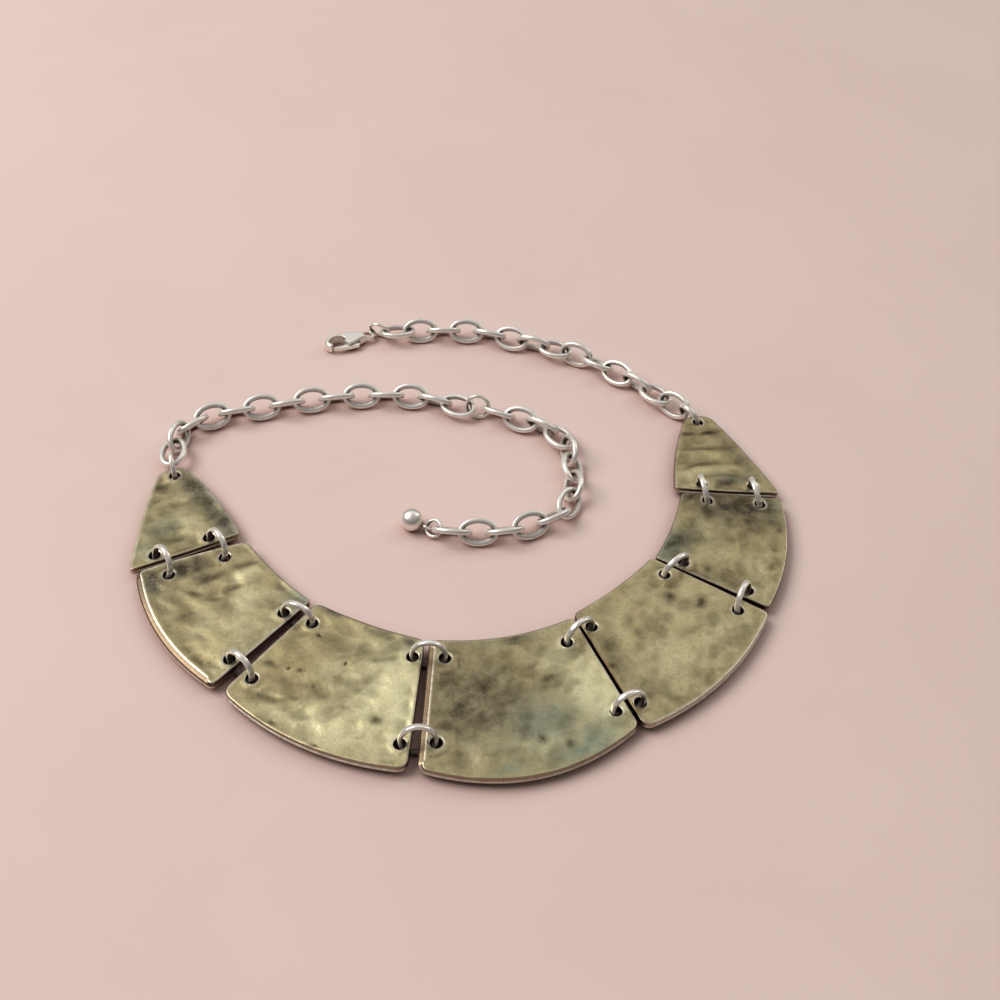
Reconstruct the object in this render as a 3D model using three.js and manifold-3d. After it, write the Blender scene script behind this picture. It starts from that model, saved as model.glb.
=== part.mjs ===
// A bib choker necklace lying on a flat surface: seven hammered plates joined by jump rings,
// a cable chain from each end plate, a lobster clasp, and an extension chain that ends in a ball.
// Millimetres, +Z up, the surface at z = 0. x and y are laid out about the middle of the bib's
// hollow; the finished group is moved so that its origin is the middle of its box, on the surface.
import * as THREE from "three";
import { mergeVertices } from "three/addons/utils/BufferGeometryUtils.js";
import Module from "manifold-3d";

const wasm = await Module();
wasm.setup();

// ---------------------------------------------------------------- driving sizes

const plateSize = { thickness: 1.5, underside: 1.6, bevel: 0.2, holeRadius: 1.5, edgeSteps: 6, cornerSteps: 3, holeSteps: 5 };
const linkSize = { length: 8.9, width: 6.2, radial: 1.3, axial: 1.3, pitch: 5.85 };
const plateRingSize = { length: 7.5, width: 7.5, radial: 0.9, axial: 1.25 };
const endRingSize = { length: 6.6, width: 6.6, radial: 0.9, axial: 1.1 };
const extenderRingSize = { length: 6.2, width: 6.2, radial: 0.85, axial: 0.85 };
const claspRingSize = { length: 5.8, width: 5.8, radial: 0.8, axial: 0.8 };
const ballRingSize = { length: 4.2, width: 4.2, radial: 0.7, axial: 0.7 };
const ballSize = { radius: 2.45, stem: 0.55, loop: { length: 2.6, width: 2.6, radial: 0.54, axial: 0.54 } };
const clasp = {
  thickness: 2.6,
  bevel: 0.5,
  hook: { x: 7.6, halfLength: 3.6, halfWidth: 2.75 },
  opening: { x: 8.0, halfLength: 2.1, halfWidth: 1.5 },
  loop: { radius: 1.65, hole: 1.0, low: 0.8, high: 1.9 },
  slot: { low: 0.55, high: 2.05 },
  lever: { low: 0.85, high: 1.75 },
  pin: { x: 4.9, y: 1.5, radius: 0.4, clearance: 0.06 },
};
const pinRadius = 0.4; // of the pins that join the extension chain's links

const stepsAroundLoop = 12;
const stepsAroundWire = 6;

// Holes that two outlines share, named as below.
const sidePlateHoles = {
  endOuter: { x: -12.7, y: -6.4 },
  endInner: { x: -9.9, y: 4.9 },
  midInner: { x: 9.6, y: 6.6 },
  midOuter: { x: 12.8, y: -7.6 },
};
const innerPlateHoles = {
  endOuter: { x: -15.7, y: -6.9 },
  endInner: { x: -10.5, y: 9.0 },
  midInner: { x: 10.9, y: 8.3 },
  midOuter: { x: 15.75, y: -10.6 },
};

// Plate outlines, anticlockwise from the outer corner nearer the end of the bib, in the plate's own
// frame with +y towards the neck. round is the corner's radius, and bulge how far the edge after that
// corner stands out from a straight line. Holes: the two sides are end (nearer the end of the bib)
// and mid (nearer its middle), each with one hole towards the outer edge and one towards the neck.
const outlines = {
  endPlate: {
    corners: [
      { x: -11.9, y: -14.9, round: 1.2, bulge: 0.2 },
      { x: 11.3, y: -10.5, round: 1.2, bulge: 1.0 },
      { x: 2.6, y: 12.4, round: 2.2, bulge: 0 },
      { x: -3.1, y: 12.0, round: 2.2, bulge: 0.6 },
    ],
    holes: { midOuter: { x: -6.5, y: -11.8 }, midInner: { x: 4.8, y: -9.8 }, tip: { x: 0.1, y: 10.1 } },
  },
  sidePlate: {
    corners: [
      { x: -15.9, y: -10.9, round: 1.2, bulge: 2.5 },
      { x: 16.1, y: -12.55, round: 1.2, bulge: 0 },
      { x: 10.4, y: 12.6, round: 1.0, bulge: -0.8 },
      { x: -10.4, y: 10.9, round: 1.2, bulge: 0.45 },
    ],
    holes: sidePlateHoles,
  },
  shoulderedPlate: {
    corners: [
      { x: -17.4, y: -11.5, round: 2.2, bulge: 3.1 },
      { x: 16.15, y: -13.6, round: 1.2, bulge: 0 },
      { x: 10.4, y: 12.6, round: 1.0, bulge: -0.8 },
      { x: -10.9, y: 10.95, round: 1.8, bulge: 0.45 },
    ],
    holes: sidePlateHoles,
  },
  innerPlate: {
    corners: [
      { x: -19.7, y: -11.6, round: 2.4, bulge: 3.5 },
      { x: 19.0, y: -15.2, round: 2.4, bulge: 0 },
      { x: 11.7, y: 13.0, round: 1.6, bulge: -0.8 },
      { x: -11.7, y: 14.0, round: 1.6, bulge: 0 },
    ],
    holes: innerPlateHoles,
  },
  sharpInnerPlate: {
    corners: [
      { x: -20.4, y: -11.4, round: 1.4, bulge: 3.5 },
      { x: 19.0, y: -15.2, round: 2.4, bulge: 0 },
      { x: 11.7, y: 13.0, round: 1.6, bulge: -0.8 },
      { x: -11.7, y: 14.0, round: 1.6, bulge: 0 },
    ],
    holes: innerPlateHoles,
  },
  middlePlate: {
    corners: [
      { x: -21.7, y: -14.9, round: 1.6, bulge: 6.15 },
      { x: 20.6, y: -12.5, round: 1.6, bulge: 0 },
      { x: 14.0, y: 14.4, round: 1.4, bulge: -2.2 },
      { x: -15.2, y: 13.3, round: 1.4, bulge: 0 },
    ],
    holes: {
      leftOuter: { x: -17.4, y: -10.1 },
      leftInner: { x: -12.9, y: 8.3 },
      rightInner: { x: 11.4, y: 8.4 },
      rightOuter: { x: 17.0, y: -8.6 },
    },
  },
};

// Where each plate lies. side is 1 for an outline as drawn above and -1 for its mirror image.
const plates = [
  { name: "plate_1", outline: "endPlate", side: 1, x: -62.0, y: -3.5, turn: 20.1 },
  { name: "plate_2", outline: "shoulderedPlate", side: 1, x: -46.6, y: -26.7, turn: -47.3 },
  { name: "plate_3", outline: "innerPlate", side: 1, x: -21.5, y: -42.8, turn: -15.4 },
  { name: "plate_4", outline: "middlePlate", side: 1, x: 12.0, y: -42.5, turn: 13.7 },
  { name: "plate_5", outline: "sharpInnerPlate", side: -1, x: 39.6, y: -26.1, turn: 42.6 },
  { name: "plate_6", outline: "sidePlate", side: -1, x: 54.1, y: -0.9, turn: 76.0 },
  { name: "plate_7", outline: "endPlate", side: -1, x: 53.5, y: 25.4, turn: 12.2 },
];

// The jump rings between plates. lean is the ring's angle above the surface, past 90 for one that
// leans the other way.
const plateRings = [
  { name: "plate_ring_12_outer", from: ["plate_1", "midOuter"], to: ["plate_2", "endOuter"], lean: 75 },
  { name: "plate_ring_12_inner", from: ["plate_1", "midInner"], to: ["plate_2", "endInner"], lean: 80 },
  { name: "plate_ring_23_outer", from: ["plate_2", "midOuter"], to: ["plate_3", "endOuter"], lean: 86 },
  { name: "plate_ring_23_inner", from: ["plate_2", "midInner"], to: ["plate_3", "endInner"], lean: 88 },
  { name: "plate_ring_34_outer", from: ["plate_3", "midOuter"], to: ["plate_4", "leftOuter"], lean: 78 },
  { name: "plate_ring_34_inner", from: ["plate_3", "midInner"], to: ["plate_4", "leftInner"], lean: 84 },
  { name: "plate_ring_45_outer", from: ["plate_4", "rightOuter"], to: ["plate_5", "midOuter"], lean: 87 },
  { name: "plate_ring_45_inner", from: ["plate_4", "rightInner"], to: ["plate_5", "midInner"], lean: 90 },
  { name: "plate_ring_56_outer", from: ["plate_5", "endOuter"], to: ["plate_6", "midOuter"], lean: 82 },
  { name: "plate_ring_56_inner", from: ["plate_5", "endInner"], to: ["plate_6", "midInner"], lean: 98 },
  { name: "plate_ring_67_outer", from: ["plate_6", "endOuter"], to: ["plate_7", "midOuter"], lean: 72 },
  { name: "plate_ring_67_inner", from: ["plate_6", "endInner"], to: ["plate_7", "midInner"], lean: 75 },
];

// The upright rings through the tips of the end plates: the way they point, and how far their middle
// is from the hole's.
const endRings = [
  { name: "end_ring_left", plate: "plate_1", heading: 112, reach: 2.7, lean: 90 },
  { name: "end_ring_right", plate: "plate_7", heading: 131, reach: 2.95, lean: 67 },
];

// Chains. route is a smooth line through the joints between links, rolls the turn of each link about
// the chain's line from lying flat, and slack how much closer than the pitch the first joints are.
const chains = {
  right: {
    route: [
      [-25.45, 61.1],
      [-14.0, 63.0],
      [-2.0, 63.8],
      [9.0, 61.2],
      [20.4, 58.0],
      [31.0, 52.6],
      [40.0, 45.8],
      [50.0, 37.6],
    ],
    rolls: [-14, 56, -42, 45, -45, 40, -66, 2, 70, -32, 40, -68, -1, 61],
    slack: [0.15, 0.1, 0, 0, 0, 0, 0.2, 0.25, 0.1, 0, 0, 0.2, 0.25, 0.1],
  },
  left: {
    route: [
      [-67.4, 11.0],
      [-67.8, 16.2],
      [-67.2, 20.6],
      [-64.4, 24.2],
      [-60.2, 27.0],
      [-49.4, 30.8],
      [-38.0, 34.6],
      [-26.3, 37.1],
      [-14.4, 37.7],
      [-3.2, 34.8],
    ],
    rolls: [-6, 62, -50, 40, -45, 45, -45, 45, -45, 45, -45, 45, -52, 18],
    slack: [0.8, 0.9, 0.9, 0.5],
  },
  extender: {
    route: [
      [1.4, 35.1],
      [6.8, 33.2],
      [12.4, 31.5],
      [17.2, 28.9],
      [20.5, 24.9],
      [21.6, 20.0],
      [21.9, 14.6],
      [22.1, 8.5],
      [19.6, 3.3],
      [14.8, 0.1],
      [9.4, -2.6],
      [3.9, -3.8],
      [-1.6, -4.2],
      [-7.2, -4.1],
    ],
    rolls: [-42, 40, -64, 0, 68, -35, 50, -42, 45, -45, 45, -45, 45],
    slack: [0.1, 0.1, 0.6, 0.8, 0.7, 0.3, 0, 0.4, 0.1, 0, 0.1, 0.2, 0.3],
  },
};
const lowestFlatLink = 2.6; // a flat link rests on the wires of its neighbours
const extenderSolids = [3, 3, 3, 4]; // how many links of the extension chain each solid joins

// Small rings and their places. heading and pitch point along the chain, and roll turns about it.
const smallRings = [
  { name: "extender_ring", size: extenderRingSize, x: -0.8, y: 35.2, z: 3.1, heading: -4, pitch: 0, roll: 74 },
  { name: "clasp_ring", size: claspRingSize, x: -27.2, y: 61.6, z: 2.8, heading: -10, pitch: -7, roll: -68 },
  { name: "ball_ring", size: ballRingSize, x: -7.75, y: -3.25, z: 2.0, heading: 160, pitch: -17, roll: -42 },
];
const endBall = { x: -12.6, y: -1.6, heading: -17, pitch: -14, roll: -45 };
const claspPlace = { x: -30.1, y: 60.6, turn: 208 };

const colours = {
  plate: { color: 0xa09668, roughness: 0.5, metalness: 0.9 },
  ring: { color: 0xa8a299, roughness: 0.3, metalness: 1.0 },
  link: { color: 0x9c968b, roughness: 0.32, metalness: 1.0 },
  clasp: { color: 0xb4b0a6, roughness: 0.28, metalness: 1.0 },
};

// ---------------------------------------------------------------- helpers

const choker = new THREE.Group();
const radians = THREE.MathUtils.degToRad;

function addPiece(name, geometry, look) {
  const mesh = new THREE.Mesh(geometry, new THREE.MeshStandardMaterial(look));
  mesh.name = name;
  choker.add(mesh);
  return mesh;
}

// Turns a geometry into a manifold solid, and a solid back into a geometry.
function toSolid(geometry) {
  const bare = geometry.clone();
  bare.deleteAttribute("normal");
  bare.deleteAttribute("uv");
  const merged = mergeVertices(bare, 1e-3);
  return new wasm.Manifold(
    new wasm.Mesh({
      numProp: 3,
      vertProperties: merged.attributes.position.array,
      triVerts: new Uint32Array(merged.index.array),
    }),
  );
}

function toGeometry(solid) {
  const mesh = solid.getMesh();
  const geometry = new THREE.BufferGeometry();
  geometry.setAttribute("position", new THREE.BufferAttribute(mesh.vertProperties, 3));
  geometry.setIndex(new THREE.BufferAttribute(mesh.triVerts, 1));
  geometry.computeVertexNormals();
  return geometry;
}

// A closed oval of wire in the xy plane, long axis along x: a torus bent onto the oval's middle line,
// with the wire's section flattened to its radial and axial widths.
function ovalWire({ length, width, radial, axial }, around = stepsAroundLoop) {
  const halfLength = (length - radial) / 2;
  const halfWidth = (width - radial) / 2;
  const geometry = new THREE.TorusGeometry(halfLength, 1, stepsAroundWire, around);
  const position = geometry.attributes.position;
  for (let i = 0; i < position.count; i++) {
    const angle = Math.atan2(position.getY(i), position.getX(i));
    const out = ((Math.hypot(position.getX(i), position.getY(i)) - halfLength) * radial) / 2;
    const normal = new THREE.Vector2(halfWidth * Math.cos(angle), halfLength * Math.sin(angle)).normalize();
    position.setXYZ(
      i,
      halfLength * Math.cos(angle) + out * normal.x,
      halfWidth * Math.sin(angle) + out * normal.y,
      (position.getZ(i) * axial) / 2,
    );
  }
  return geometry;
}

// The matrix that carries a piece drawn along +x onto a heading, with a pitch above the surface and a
// roll about its own line. A roll of 0 leaves the piece lying flat.
function along(place, headingDegrees, pitchDegrees = 0, rollDegrees = 0) {
  const turn = new THREE.Euler(radians(rollDegrees), radians(-pitchDegrees), radians(headingDegrees), "ZYX");
  return new THREE.Matrix4().makeRotationFromEuler(turn).setPosition(place);
}

function place(mesh, matrix) {
  matrix.decompose(mesh.position, mesh.quaternion, mesh.scale);
  return mesh;
}

// ---------------------------------------------------------------- plates

function cornersOf(plate) {
  const { corners } = outlines[plate.outline];
  if (plate.side > 0) return corners;
  // A mirror image runs the other way round, so each edge's bulge moves to the corner it now starts from.
  return corners
    .map((corner, i) => ({ ...corner, x: -corner.x, bulge: corners[(i + corners.length - 1) % corners.length].bulge }))
    .reverse();
}

// Each edge of the plate as a curve, shortened at both ends to make room for the rounded corners.
function plateEdges(plate) {
  const corners = cornersOf(plate).map((corner) => ({ ...corner, at: new THREE.Vector2(corner.x, corner.y) }));
  return corners.map((corner, i) => {
    const next = corners[(i + 1) % corners.length];
    const line = next.at.clone().sub(corner.at);
    const outward = new THREE.Vector2(line.y, -line.x).normalize();
    const control = corner.at.clone().add(next.at).multiplyScalar(0.5).addScaledVector(outward, 2 * corner.bulge);
    const whole = new THREE.QuadraticBezierCurve(corner.at, control, next.at);
    const [from, to] = [corner.round / line.length(), 1 - next.round / line.length()];
    const steps = corner.bulge === 0 ? 1 : plateSize.edgeSteps;
    const points = Array.from({ length: steps + 1 }, (_, k) => whole.getPoint(from + ((to - from) * k) / steps));
    return { points, corner: next.at };
  });
}

function plateShape(plate) {
  const edges = plateEdges(plate);
  const outline = edges.flatMap(({ points, corner }, i) => {
    const next = edges[(i + 1) % edges.length].points[0];
    const turn = new THREE.QuadraticBezierCurve(points[points.length - 1], corner, next);
    return [...points, ...turn.getPoints(plateSize.cornerSteps).slice(1, -1)];
  });
  const shape = new THREE.Shape(outline);
  for (const hole of Object.values(outlines[plate.outline].holes)) {
    const path = new THREE.Path();
    path.absarc(plate.side * hole.x, hole.y, plateSize.holeRadius, 0, 2 * Math.PI, true);
    shape.holes.push(path);
  }
  return shape;
}

function plateMatrix(plate) {
  return along(new THREE.Vector3(plate.x, plate.y, plateSize.underside), plate.turn);
}

function makePlate(plate) {
  const geometry = new THREE.ExtrudeGeometry(plateShape(plate), {
    depth: plateSize.thickness - 2 * plateSize.bevel,
    bevelThickness: plateSize.bevel,
    bevelSize: plateSize.bevel,
    bevelOffset: -plateSize.bevel,
    bevelSegments: 1,
    curveSegments: plateSize.holeSteps,
  });
  geometry.translate(0, 0, plateSize.bevel);
  place(addPiece(plate.name, geometry, colours.plate), plateMatrix(plate));
}

// The middle of a plate's hole, half way through the plate.
function holeCentre(plateName, holeName) {
  const plate = plates.find(({ name }) => name === plateName);
  const hole = outlines[plate.outline].holes[holeName];
  return new THREE.Vector3(plate.side * hole.x, hole.y, plateSize.thickness / 2).applyMatrix4(plateMatrix(plate));
}

// ---------------------------------------------------------------- rings

// How high the middle of a ring is when it leans on its lowest point.
function restHeight(size, leanRadians) {
  const rise = Math.abs(Math.sin(leanRadians));
  const wire = Math.hypot((size.radial / 2) * rise, (size.axial / 2) * Math.cos(leanRadians));
  return ((size.width - size.radial) / 2) * rise + wire;
}

function makePlateRing({ name, from, to, lean }) {
  const start = holeCentre(...from);
  const end = holeCentre(...to);
  const span = end.clone().sub(start).normalize();
  const lift = radians(lean);
  const centre = start.clone().add(end).multiplyScalar(0.5);
  const middleOfPlates = centre.z;
  centre.z = restHeight(plateRingSize, lift);
  const backwards = new THREE.Vector3(-span.y, span.x, 0);
  centre.addScaledVector(backwards, (centre.z - middleOfPlates) / Math.tan(lift));
  const heading = THREE.MathUtils.radToDeg(Math.atan2(span.y, span.x));
  place(addPiece(name, ovalWire(plateRingSize), colours.ring), along(centre, heading, 0, lean));
}

function makeEndRing({ name, plate, heading, reach, lean }) {
  const centre = holeCentre(plate, "tip");
  centre.z = restHeight(endRingSize, radians(lean));
  centre.x += reach * Math.cos(radians(heading));
  centre.y += reach * Math.sin(radians(heading));
  place(addPiece(name, ovalWire(endRingSize), colours.ring), along(centre, heading, 0, lean));
}

function makeSmallRing({ name, size, x, y, z, heading, pitch, roll }) {
  place(addPiece(name, ovalWire(size, 12), colours.ring), along(new THREE.Vector3(x, y, z), heading, pitch, roll));
}

// ---------------------------------------------------------------- chains

// The matrices of a chain's links: joints one pitch apart along the route, a link between each two.
function linkMatrices({ route, rolls, slack }) {
  const points = route.map(([x, y]) => new THREE.Vector3(x, y, 0));
  const fine = new THREE.CatmullRomCurve3(points, false, "centripetal").getPoints(1200);
  const joints = [fine[0]];
  let at = 0;
  for (let i = 0; i < rolls.length; i++) {
    const step = linkSize.pitch - (slack[i] ?? 0);
    const last = joints[i];
    while (at < fine.length - 1 && fine[at].distanceTo(last) < step) at++;
    const way = fine[at].clone().sub(last).setLength(step);
    joints.push(last.clone().add(way));
  }
  return rolls.map((roll, i) => {
    const centre = joints[i].clone().add(joints[i + 1]).multiplyScalar(0.5);
    const way = joints[i + 1].clone().sub(joints[i]);
    centre.z = Math.max(restHeight(linkSize, radians(roll)), lowestFlatLink);
    const heading = THREE.MathUtils.radToDeg(Math.atan2(way.y, way.x));
    return along(centre, heading, 0, roll);
  });
}

function makeChain(side) {
  linkMatrices(chains[side]).forEach((matrix, i) => {
    const name = `${side}_link_${String(i + 1).padStart(2, "0")}`;
    place(addPiece(name, ovalWire(linkSize), colours.link), matrix);
  });
}

// The extension chain, with a short pin between the end wires of the links that make up each solid.
function makeExtender() {
  const matrices = linkMatrices(chains.extender);
  const wireReach = (linkSize.length - linkSize.radial) / 2;
  const endWire = (matrix, end) => new THREE.Vector3(end * wireReach, 0, 0).applyMatrix4(matrix);
  let first = 0;
  extenderSolids.forEach((count, solidIndex) => {
    let solid = null;
    for (let i = first; i < first + count; i++) {
      const link = toSolid(ovalWire(linkSize).applyMatrix4(matrices[i]));
      if (i === first) {
        solid = link;
        continue;
      }
      const [start, end] = [endWire(matrices[i - 1], 1), endWire(matrices[i], -1)];
      const pin = new THREE.CylinderGeometry(pinRadius, pinRadius, start.distanceTo(end), 6);
      pin.rotateX(Math.PI / 2);
      const aim = new THREE.Matrix4().lookAt(end, start, new THREE.Vector3(0, 0, 1));
      aim.setPosition(start.clone().add(end).multiplyScalar(0.5));
      solid = solid.add(link).add(toSolid(pin.applyMatrix4(aim)));
    }
    addPiece(`extender_chain_${solidIndex + 1}`, toGeometry(solid), colours.link);
    first += count;
  });
}

// ---------------------------------------------------------------- ball

function makeBall() {
  const { radius, stem, loop } = ballSize;
  const loopPlace = radius + loop.length / 2 - 0.1;
  const ball = toSolid(new THREE.SphereGeometry(radius, 14, 10));
  const neck = new THREE.CylinderGeometry(stem, stem, 1.0, 8);
  neck.rotateZ(-Math.PI / 2);
  neck.translate(radius, 0, 0);
  const eye = ovalWire(loop, 12);
  eye.rotateX(radians(endBall.roll));
  eye.translate(loopPlace, 0, 0);
  const geometry = toGeometry(ball.add(toSolid(neck)).add(toSolid(eye)));
  const centre = new THREE.Vector3(endBall.x, endBall.y, radius);
  place(addPiece("end_ball", geometry, colours.ring), along(centre, endBall.heading, endBall.pitch));
}

// ---------------------------------------------------------------- clasp

// Drawn along +x from the middle of its end loop to the tip of its hook, with its lever on the +y side.
function extruded(shape, low, high, bevel = 0) {
  const geometry = new THREE.ExtrudeGeometry(shape, {
    depth: high - low - 2 * bevel,
    bevelEnabled: bevel > 0,
    bevelThickness: bevel,
    bevelSize: bevel,
    bevelOffset: -bevel,
    bevelSegments: 1,
    curveSegments: 10,
  });
  geometry.translate(0, 0, low + bevel);
  return toSolid(geometry);
}

function ovalShape(x, y, halfLength, halfWidth) {
  const shape = new THREE.Shape();
  shape.absellipse(x, y, halfLength, halfWidth, 0, 2 * Math.PI);
  return shape;
}

function polygon(points) {
  return new THREE.Shape(points.map(([x, y]) => new THREE.Vector2(x, y)));
}

function makeClasp() {
  const { thickness, bevel, hook, opening, loop, slot, lever, pin } = clasp;
  const centre = new THREE.Vector3(claspPlace.x, claspPlace.y, 0);
  const matrix = along(centre, claspPlace.turn);

  const shoulder = polygon([
    [0.6, -1.1],
    [2.4, -1.5],
    [5.2, -2.5],
    [7.0, -2.7],
    [7.0, 2.7],
    [5.2, 2.5],
    [2.4, 1.5],
    [0.6, 1.1],
  ]);
  const gateRoom = polygon([
    [5.9, 1.1],
    [9.9, 1.1],
    [10.5, 3.4],
    [5.9, 3.4],
  ]);
  const slotRoom = polygon([
    [2.6, 0.3],
    [6.6, 0.3],
    [6.6, 4.0],
    [2.6, 4.0],
  ]);
  const body = extruded(ovalShape(hook.x, 0, hook.halfLength, hook.halfWidth), 0, thickness, bevel)
    .add(extruded(shoulder, 0, thickness, bevel))
    .add(extruded(ovalShape(0, 0, loop.radius, loop.radius), loop.low, loop.high, 0.25))
    .subtract(extruded(ovalShape(opening.x, 0, opening.halfLength, opening.halfWidth), -1, thickness + 1))
    .subtract(extruded(ovalShape(0, 0, loop.hole, loop.hole), -1, thickness + 1))
    .subtract(extruded(gateRoom, -1, thickness + 1))
    .subtract(extruded(slotRoom, slot.low, slot.high))
    .add(extruded(ovalShape(pin.x, pin.y, pin.radius, pin.radius), 0.3, thickness - 0.3));
  place(addPiece("clasp_body", toGeometry(body), colours.clasp), matrix);

  const arm = polygon([
    [4.5, 0.75],
    [5.3, 0.8],
    [6.2, 1.35],
    [7.8, 1.65],
    [9.4, 1.5],
    [9.6, 1.95],
    [7.8, 2.6],
    [6.0, 2.75],
    [4.6, 2.9],
    [3.4, 2.9],
    [2.9, 2.4],
    [3.3, 1.9],
    [4.1, 1.6],
  ]);
  const bore = pin.radius + pin.clearance;
  const leverSolid = extruded(arm, lever.low, lever.high)
    .subtract(extruded(ovalShape(pin.x, pin.y, bore, bore), lever.low - 1, lever.high + 1));
  place(addPiece("clasp_lever", toGeometry(leverSolid), colours.clasp), matrix);
}

// ---------------------------------------------------------------- assembly

plates.forEach(makePlate);
plateRings.forEach(makePlateRing);
endRings.forEach(makeEndRing);
smallRings.forEach(makeSmallRing);
makeChain("left");
makeChain("right");
makeExtender();
makeBall();
makeClasp();

const box = new THREE.Box3().setFromObject(choker, true);
choker.position.set(-(box.min.x + box.max.x) / 2, -(box.min.y + box.max.y) / 2, -box.min.z);

export default choker;
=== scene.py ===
import math
import bpy
import bmesh
import numpy as np
from mathutils import Euler, Matrix, Vector


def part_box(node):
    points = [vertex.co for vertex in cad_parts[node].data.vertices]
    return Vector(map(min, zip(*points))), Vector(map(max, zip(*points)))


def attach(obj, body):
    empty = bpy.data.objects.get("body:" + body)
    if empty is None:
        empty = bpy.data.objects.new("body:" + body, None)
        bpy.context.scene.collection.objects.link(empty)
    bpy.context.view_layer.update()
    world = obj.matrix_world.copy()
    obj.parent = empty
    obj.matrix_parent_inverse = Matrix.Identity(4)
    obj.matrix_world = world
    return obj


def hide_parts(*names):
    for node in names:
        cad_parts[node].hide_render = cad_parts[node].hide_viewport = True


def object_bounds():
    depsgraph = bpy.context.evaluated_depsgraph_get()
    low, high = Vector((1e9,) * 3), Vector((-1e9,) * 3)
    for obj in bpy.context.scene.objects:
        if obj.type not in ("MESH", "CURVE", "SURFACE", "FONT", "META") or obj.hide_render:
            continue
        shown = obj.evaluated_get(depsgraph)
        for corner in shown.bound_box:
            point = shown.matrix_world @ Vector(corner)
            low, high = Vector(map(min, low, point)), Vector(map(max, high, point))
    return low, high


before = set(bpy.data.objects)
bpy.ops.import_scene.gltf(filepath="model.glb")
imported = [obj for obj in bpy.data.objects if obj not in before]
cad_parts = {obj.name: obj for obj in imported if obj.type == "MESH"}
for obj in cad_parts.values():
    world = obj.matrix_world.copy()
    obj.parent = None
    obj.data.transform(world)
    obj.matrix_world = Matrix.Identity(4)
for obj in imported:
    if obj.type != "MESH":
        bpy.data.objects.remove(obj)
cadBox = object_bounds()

# The choker's looks: hammered brass plates, silver rings and chain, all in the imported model's frame.
# Tables are in millimetres; everything is scaled to metres as it becomes a mesh.
mm = 0.001
scene = bpy.context.scene

print("camera and light")

camera = {
    "eye": (6.9, -173.3, 190.0),
    "down": 46.5,  # degrees below the horizon
    "roll": 4.0,
    "lens": 42.48,
    "film": 36.0,
    "sees": (0.01, 20.0),  # nearest and farthest, in metres
}


def newObject(name, data):
    obj = bpy.data.objects.new(name, data)
    scene.collection.objects.link(obj)
    return obj


def makeCamera():
    data = bpy.data.cameras.new("camera")
    data.lens = camera["lens"]
    data.sensor_width = camera["film"]
    data.clip_start, data.clip_end = camera["sees"]
    obj = newObject("camera", data)
    turn = Euler((math.radians(90 - camera["down"]), 0, 0)).to_matrix()
    turn = turn @ Matrix.Rotation(math.radians(camera["roll"]), 3, "Z")
    obj.matrix_world = Matrix.Translation(Vector(camera["eye"]) * mm) @ turn.to_4x4()
    scene.camera = obj


lamps = {
    # where it stands, what it points at, size, watts, colour
    "windowLamp": ((-720, 60, 850), (0, 0, 0), (760, 680), 8.6, (1.0, 0.97, 0.95)),
    "doorLamp": ((820, 700, 600), (20, 0, 0), (300, 600), 1.6, (1.0, 0.96, 0.92)),
}


def makeLamp(name, place, target, size, watts, colour):
    data = bpy.data.lights.new(name, "AREA")
    data.shape = "RECTANGLE"
    data.size, data.size_y = size[0] * mm, size[1] * mm
    data.energy = watts
    data.color = colour
    obj = newObject(name, data)
    aim = (Vector(target) - Vector(place)).to_track_quat("-Z", "Y")
    obj.matrix_world = Matrix.Translation(Vector(place) * mm) @ aim.to_matrix().to_4x4()


makeCamera()
scene.view_settings.view_transform = "Standard"
for lampName, lamp in lamps.items():
    makeLamp(lampName, *lamp)

print("node helpers")


def addNode(tree, kind, sockets=None, **settings):
    made = tree.nodes.new(kind)
    for key, value in settings.items():
        setattr(made, key, value)
    for key, value in (sockets or {}).items():
        feed(tree, made.inputs[key], value)
    return made


def feed(tree, socket, value):
    if isinstance(value, bpy.types.NodeSocket):
        tree.links.new(value, socket)
    else:
        socket.default_value = value


def calc(tree, operation, first, second, clamp=False):
    made = addNode(tree, "ShaderNodeMath", {0: first, 1: second}, operation=operation, use_clamp=clamp)
    return made.outputs[0]


def times(tree, first, second, clamp=False):
    return calc(tree, "MULTIPLY", first, second, clamp)


def plus(tree, first, second, clamp=False):
    return calc(tree, "ADD", first, second, clamp)


def mixColour(tree, share, first, second):
    made = addNode(tree, "ShaderNodeMix", data_type="RGBA", clamp_factor=True)
    for socket, value in ((0, share), (6, first), (7, second)):  # 6, 7 and output 2 are the colours
        feed(tree, made.inputs[socket], value)
    return made.outputs[2]


def remap(tree, value, low, high, toLow=0.0, toHigh=1.0):
    made = addNode(tree, "ShaderNodeMapRange", {0: value, 1: low, 2: high, 3: toLow, 4: toHigh}, clamp=True)
    return made.outputs[0]


def attribute(tree, name):
    return addNode(tree, "ShaderNodeAttribute", attribute_name=name).outputs["Fac"]


# A node group that takes a place and some values, and gives out values.
def newGroup(name, inputs, outputs):
    tree = bpy.data.node_groups.new(name, "ShaderNodeTree")
    tree.interface.new_socket("Vector", in_out="INPUT", socket_type="NodeSocketVector")
    for socket, value in inputs.items():
        made = tree.interface.new_socket(socket, in_out="INPUT", socket_type="NodeSocketFloat")
        made.default_value = value
    for socket in outputs:
        tree.interface.new_socket(socket, in_out="OUTPUT", socket_type="NodeSocketFloat")
    return tree, addNode(tree, "NodeGroupInput"), addNode(tree, "NodeGroupOutput")


def useGroup(tree, group, sockets):
    made = tree.nodes.new("ShaderNodeGroup")
    made.node_tree = group
    for key, value in sockets.items():
        feed(tree, made.inputs[key], value)
    return made


def noise(tree, given, scale, detail, roughness, distortion=0.0):
    sockets = {"Vector": given.outputs["Vector"], "Scale": given.outputs[scale], "Detail": detail}
    sockets.update({"Roughness": roughness, "Distortion": distortion})
    return addNode(tree, "ShaderNodeTexNoise", sockets).outputs["Fac"]


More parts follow.
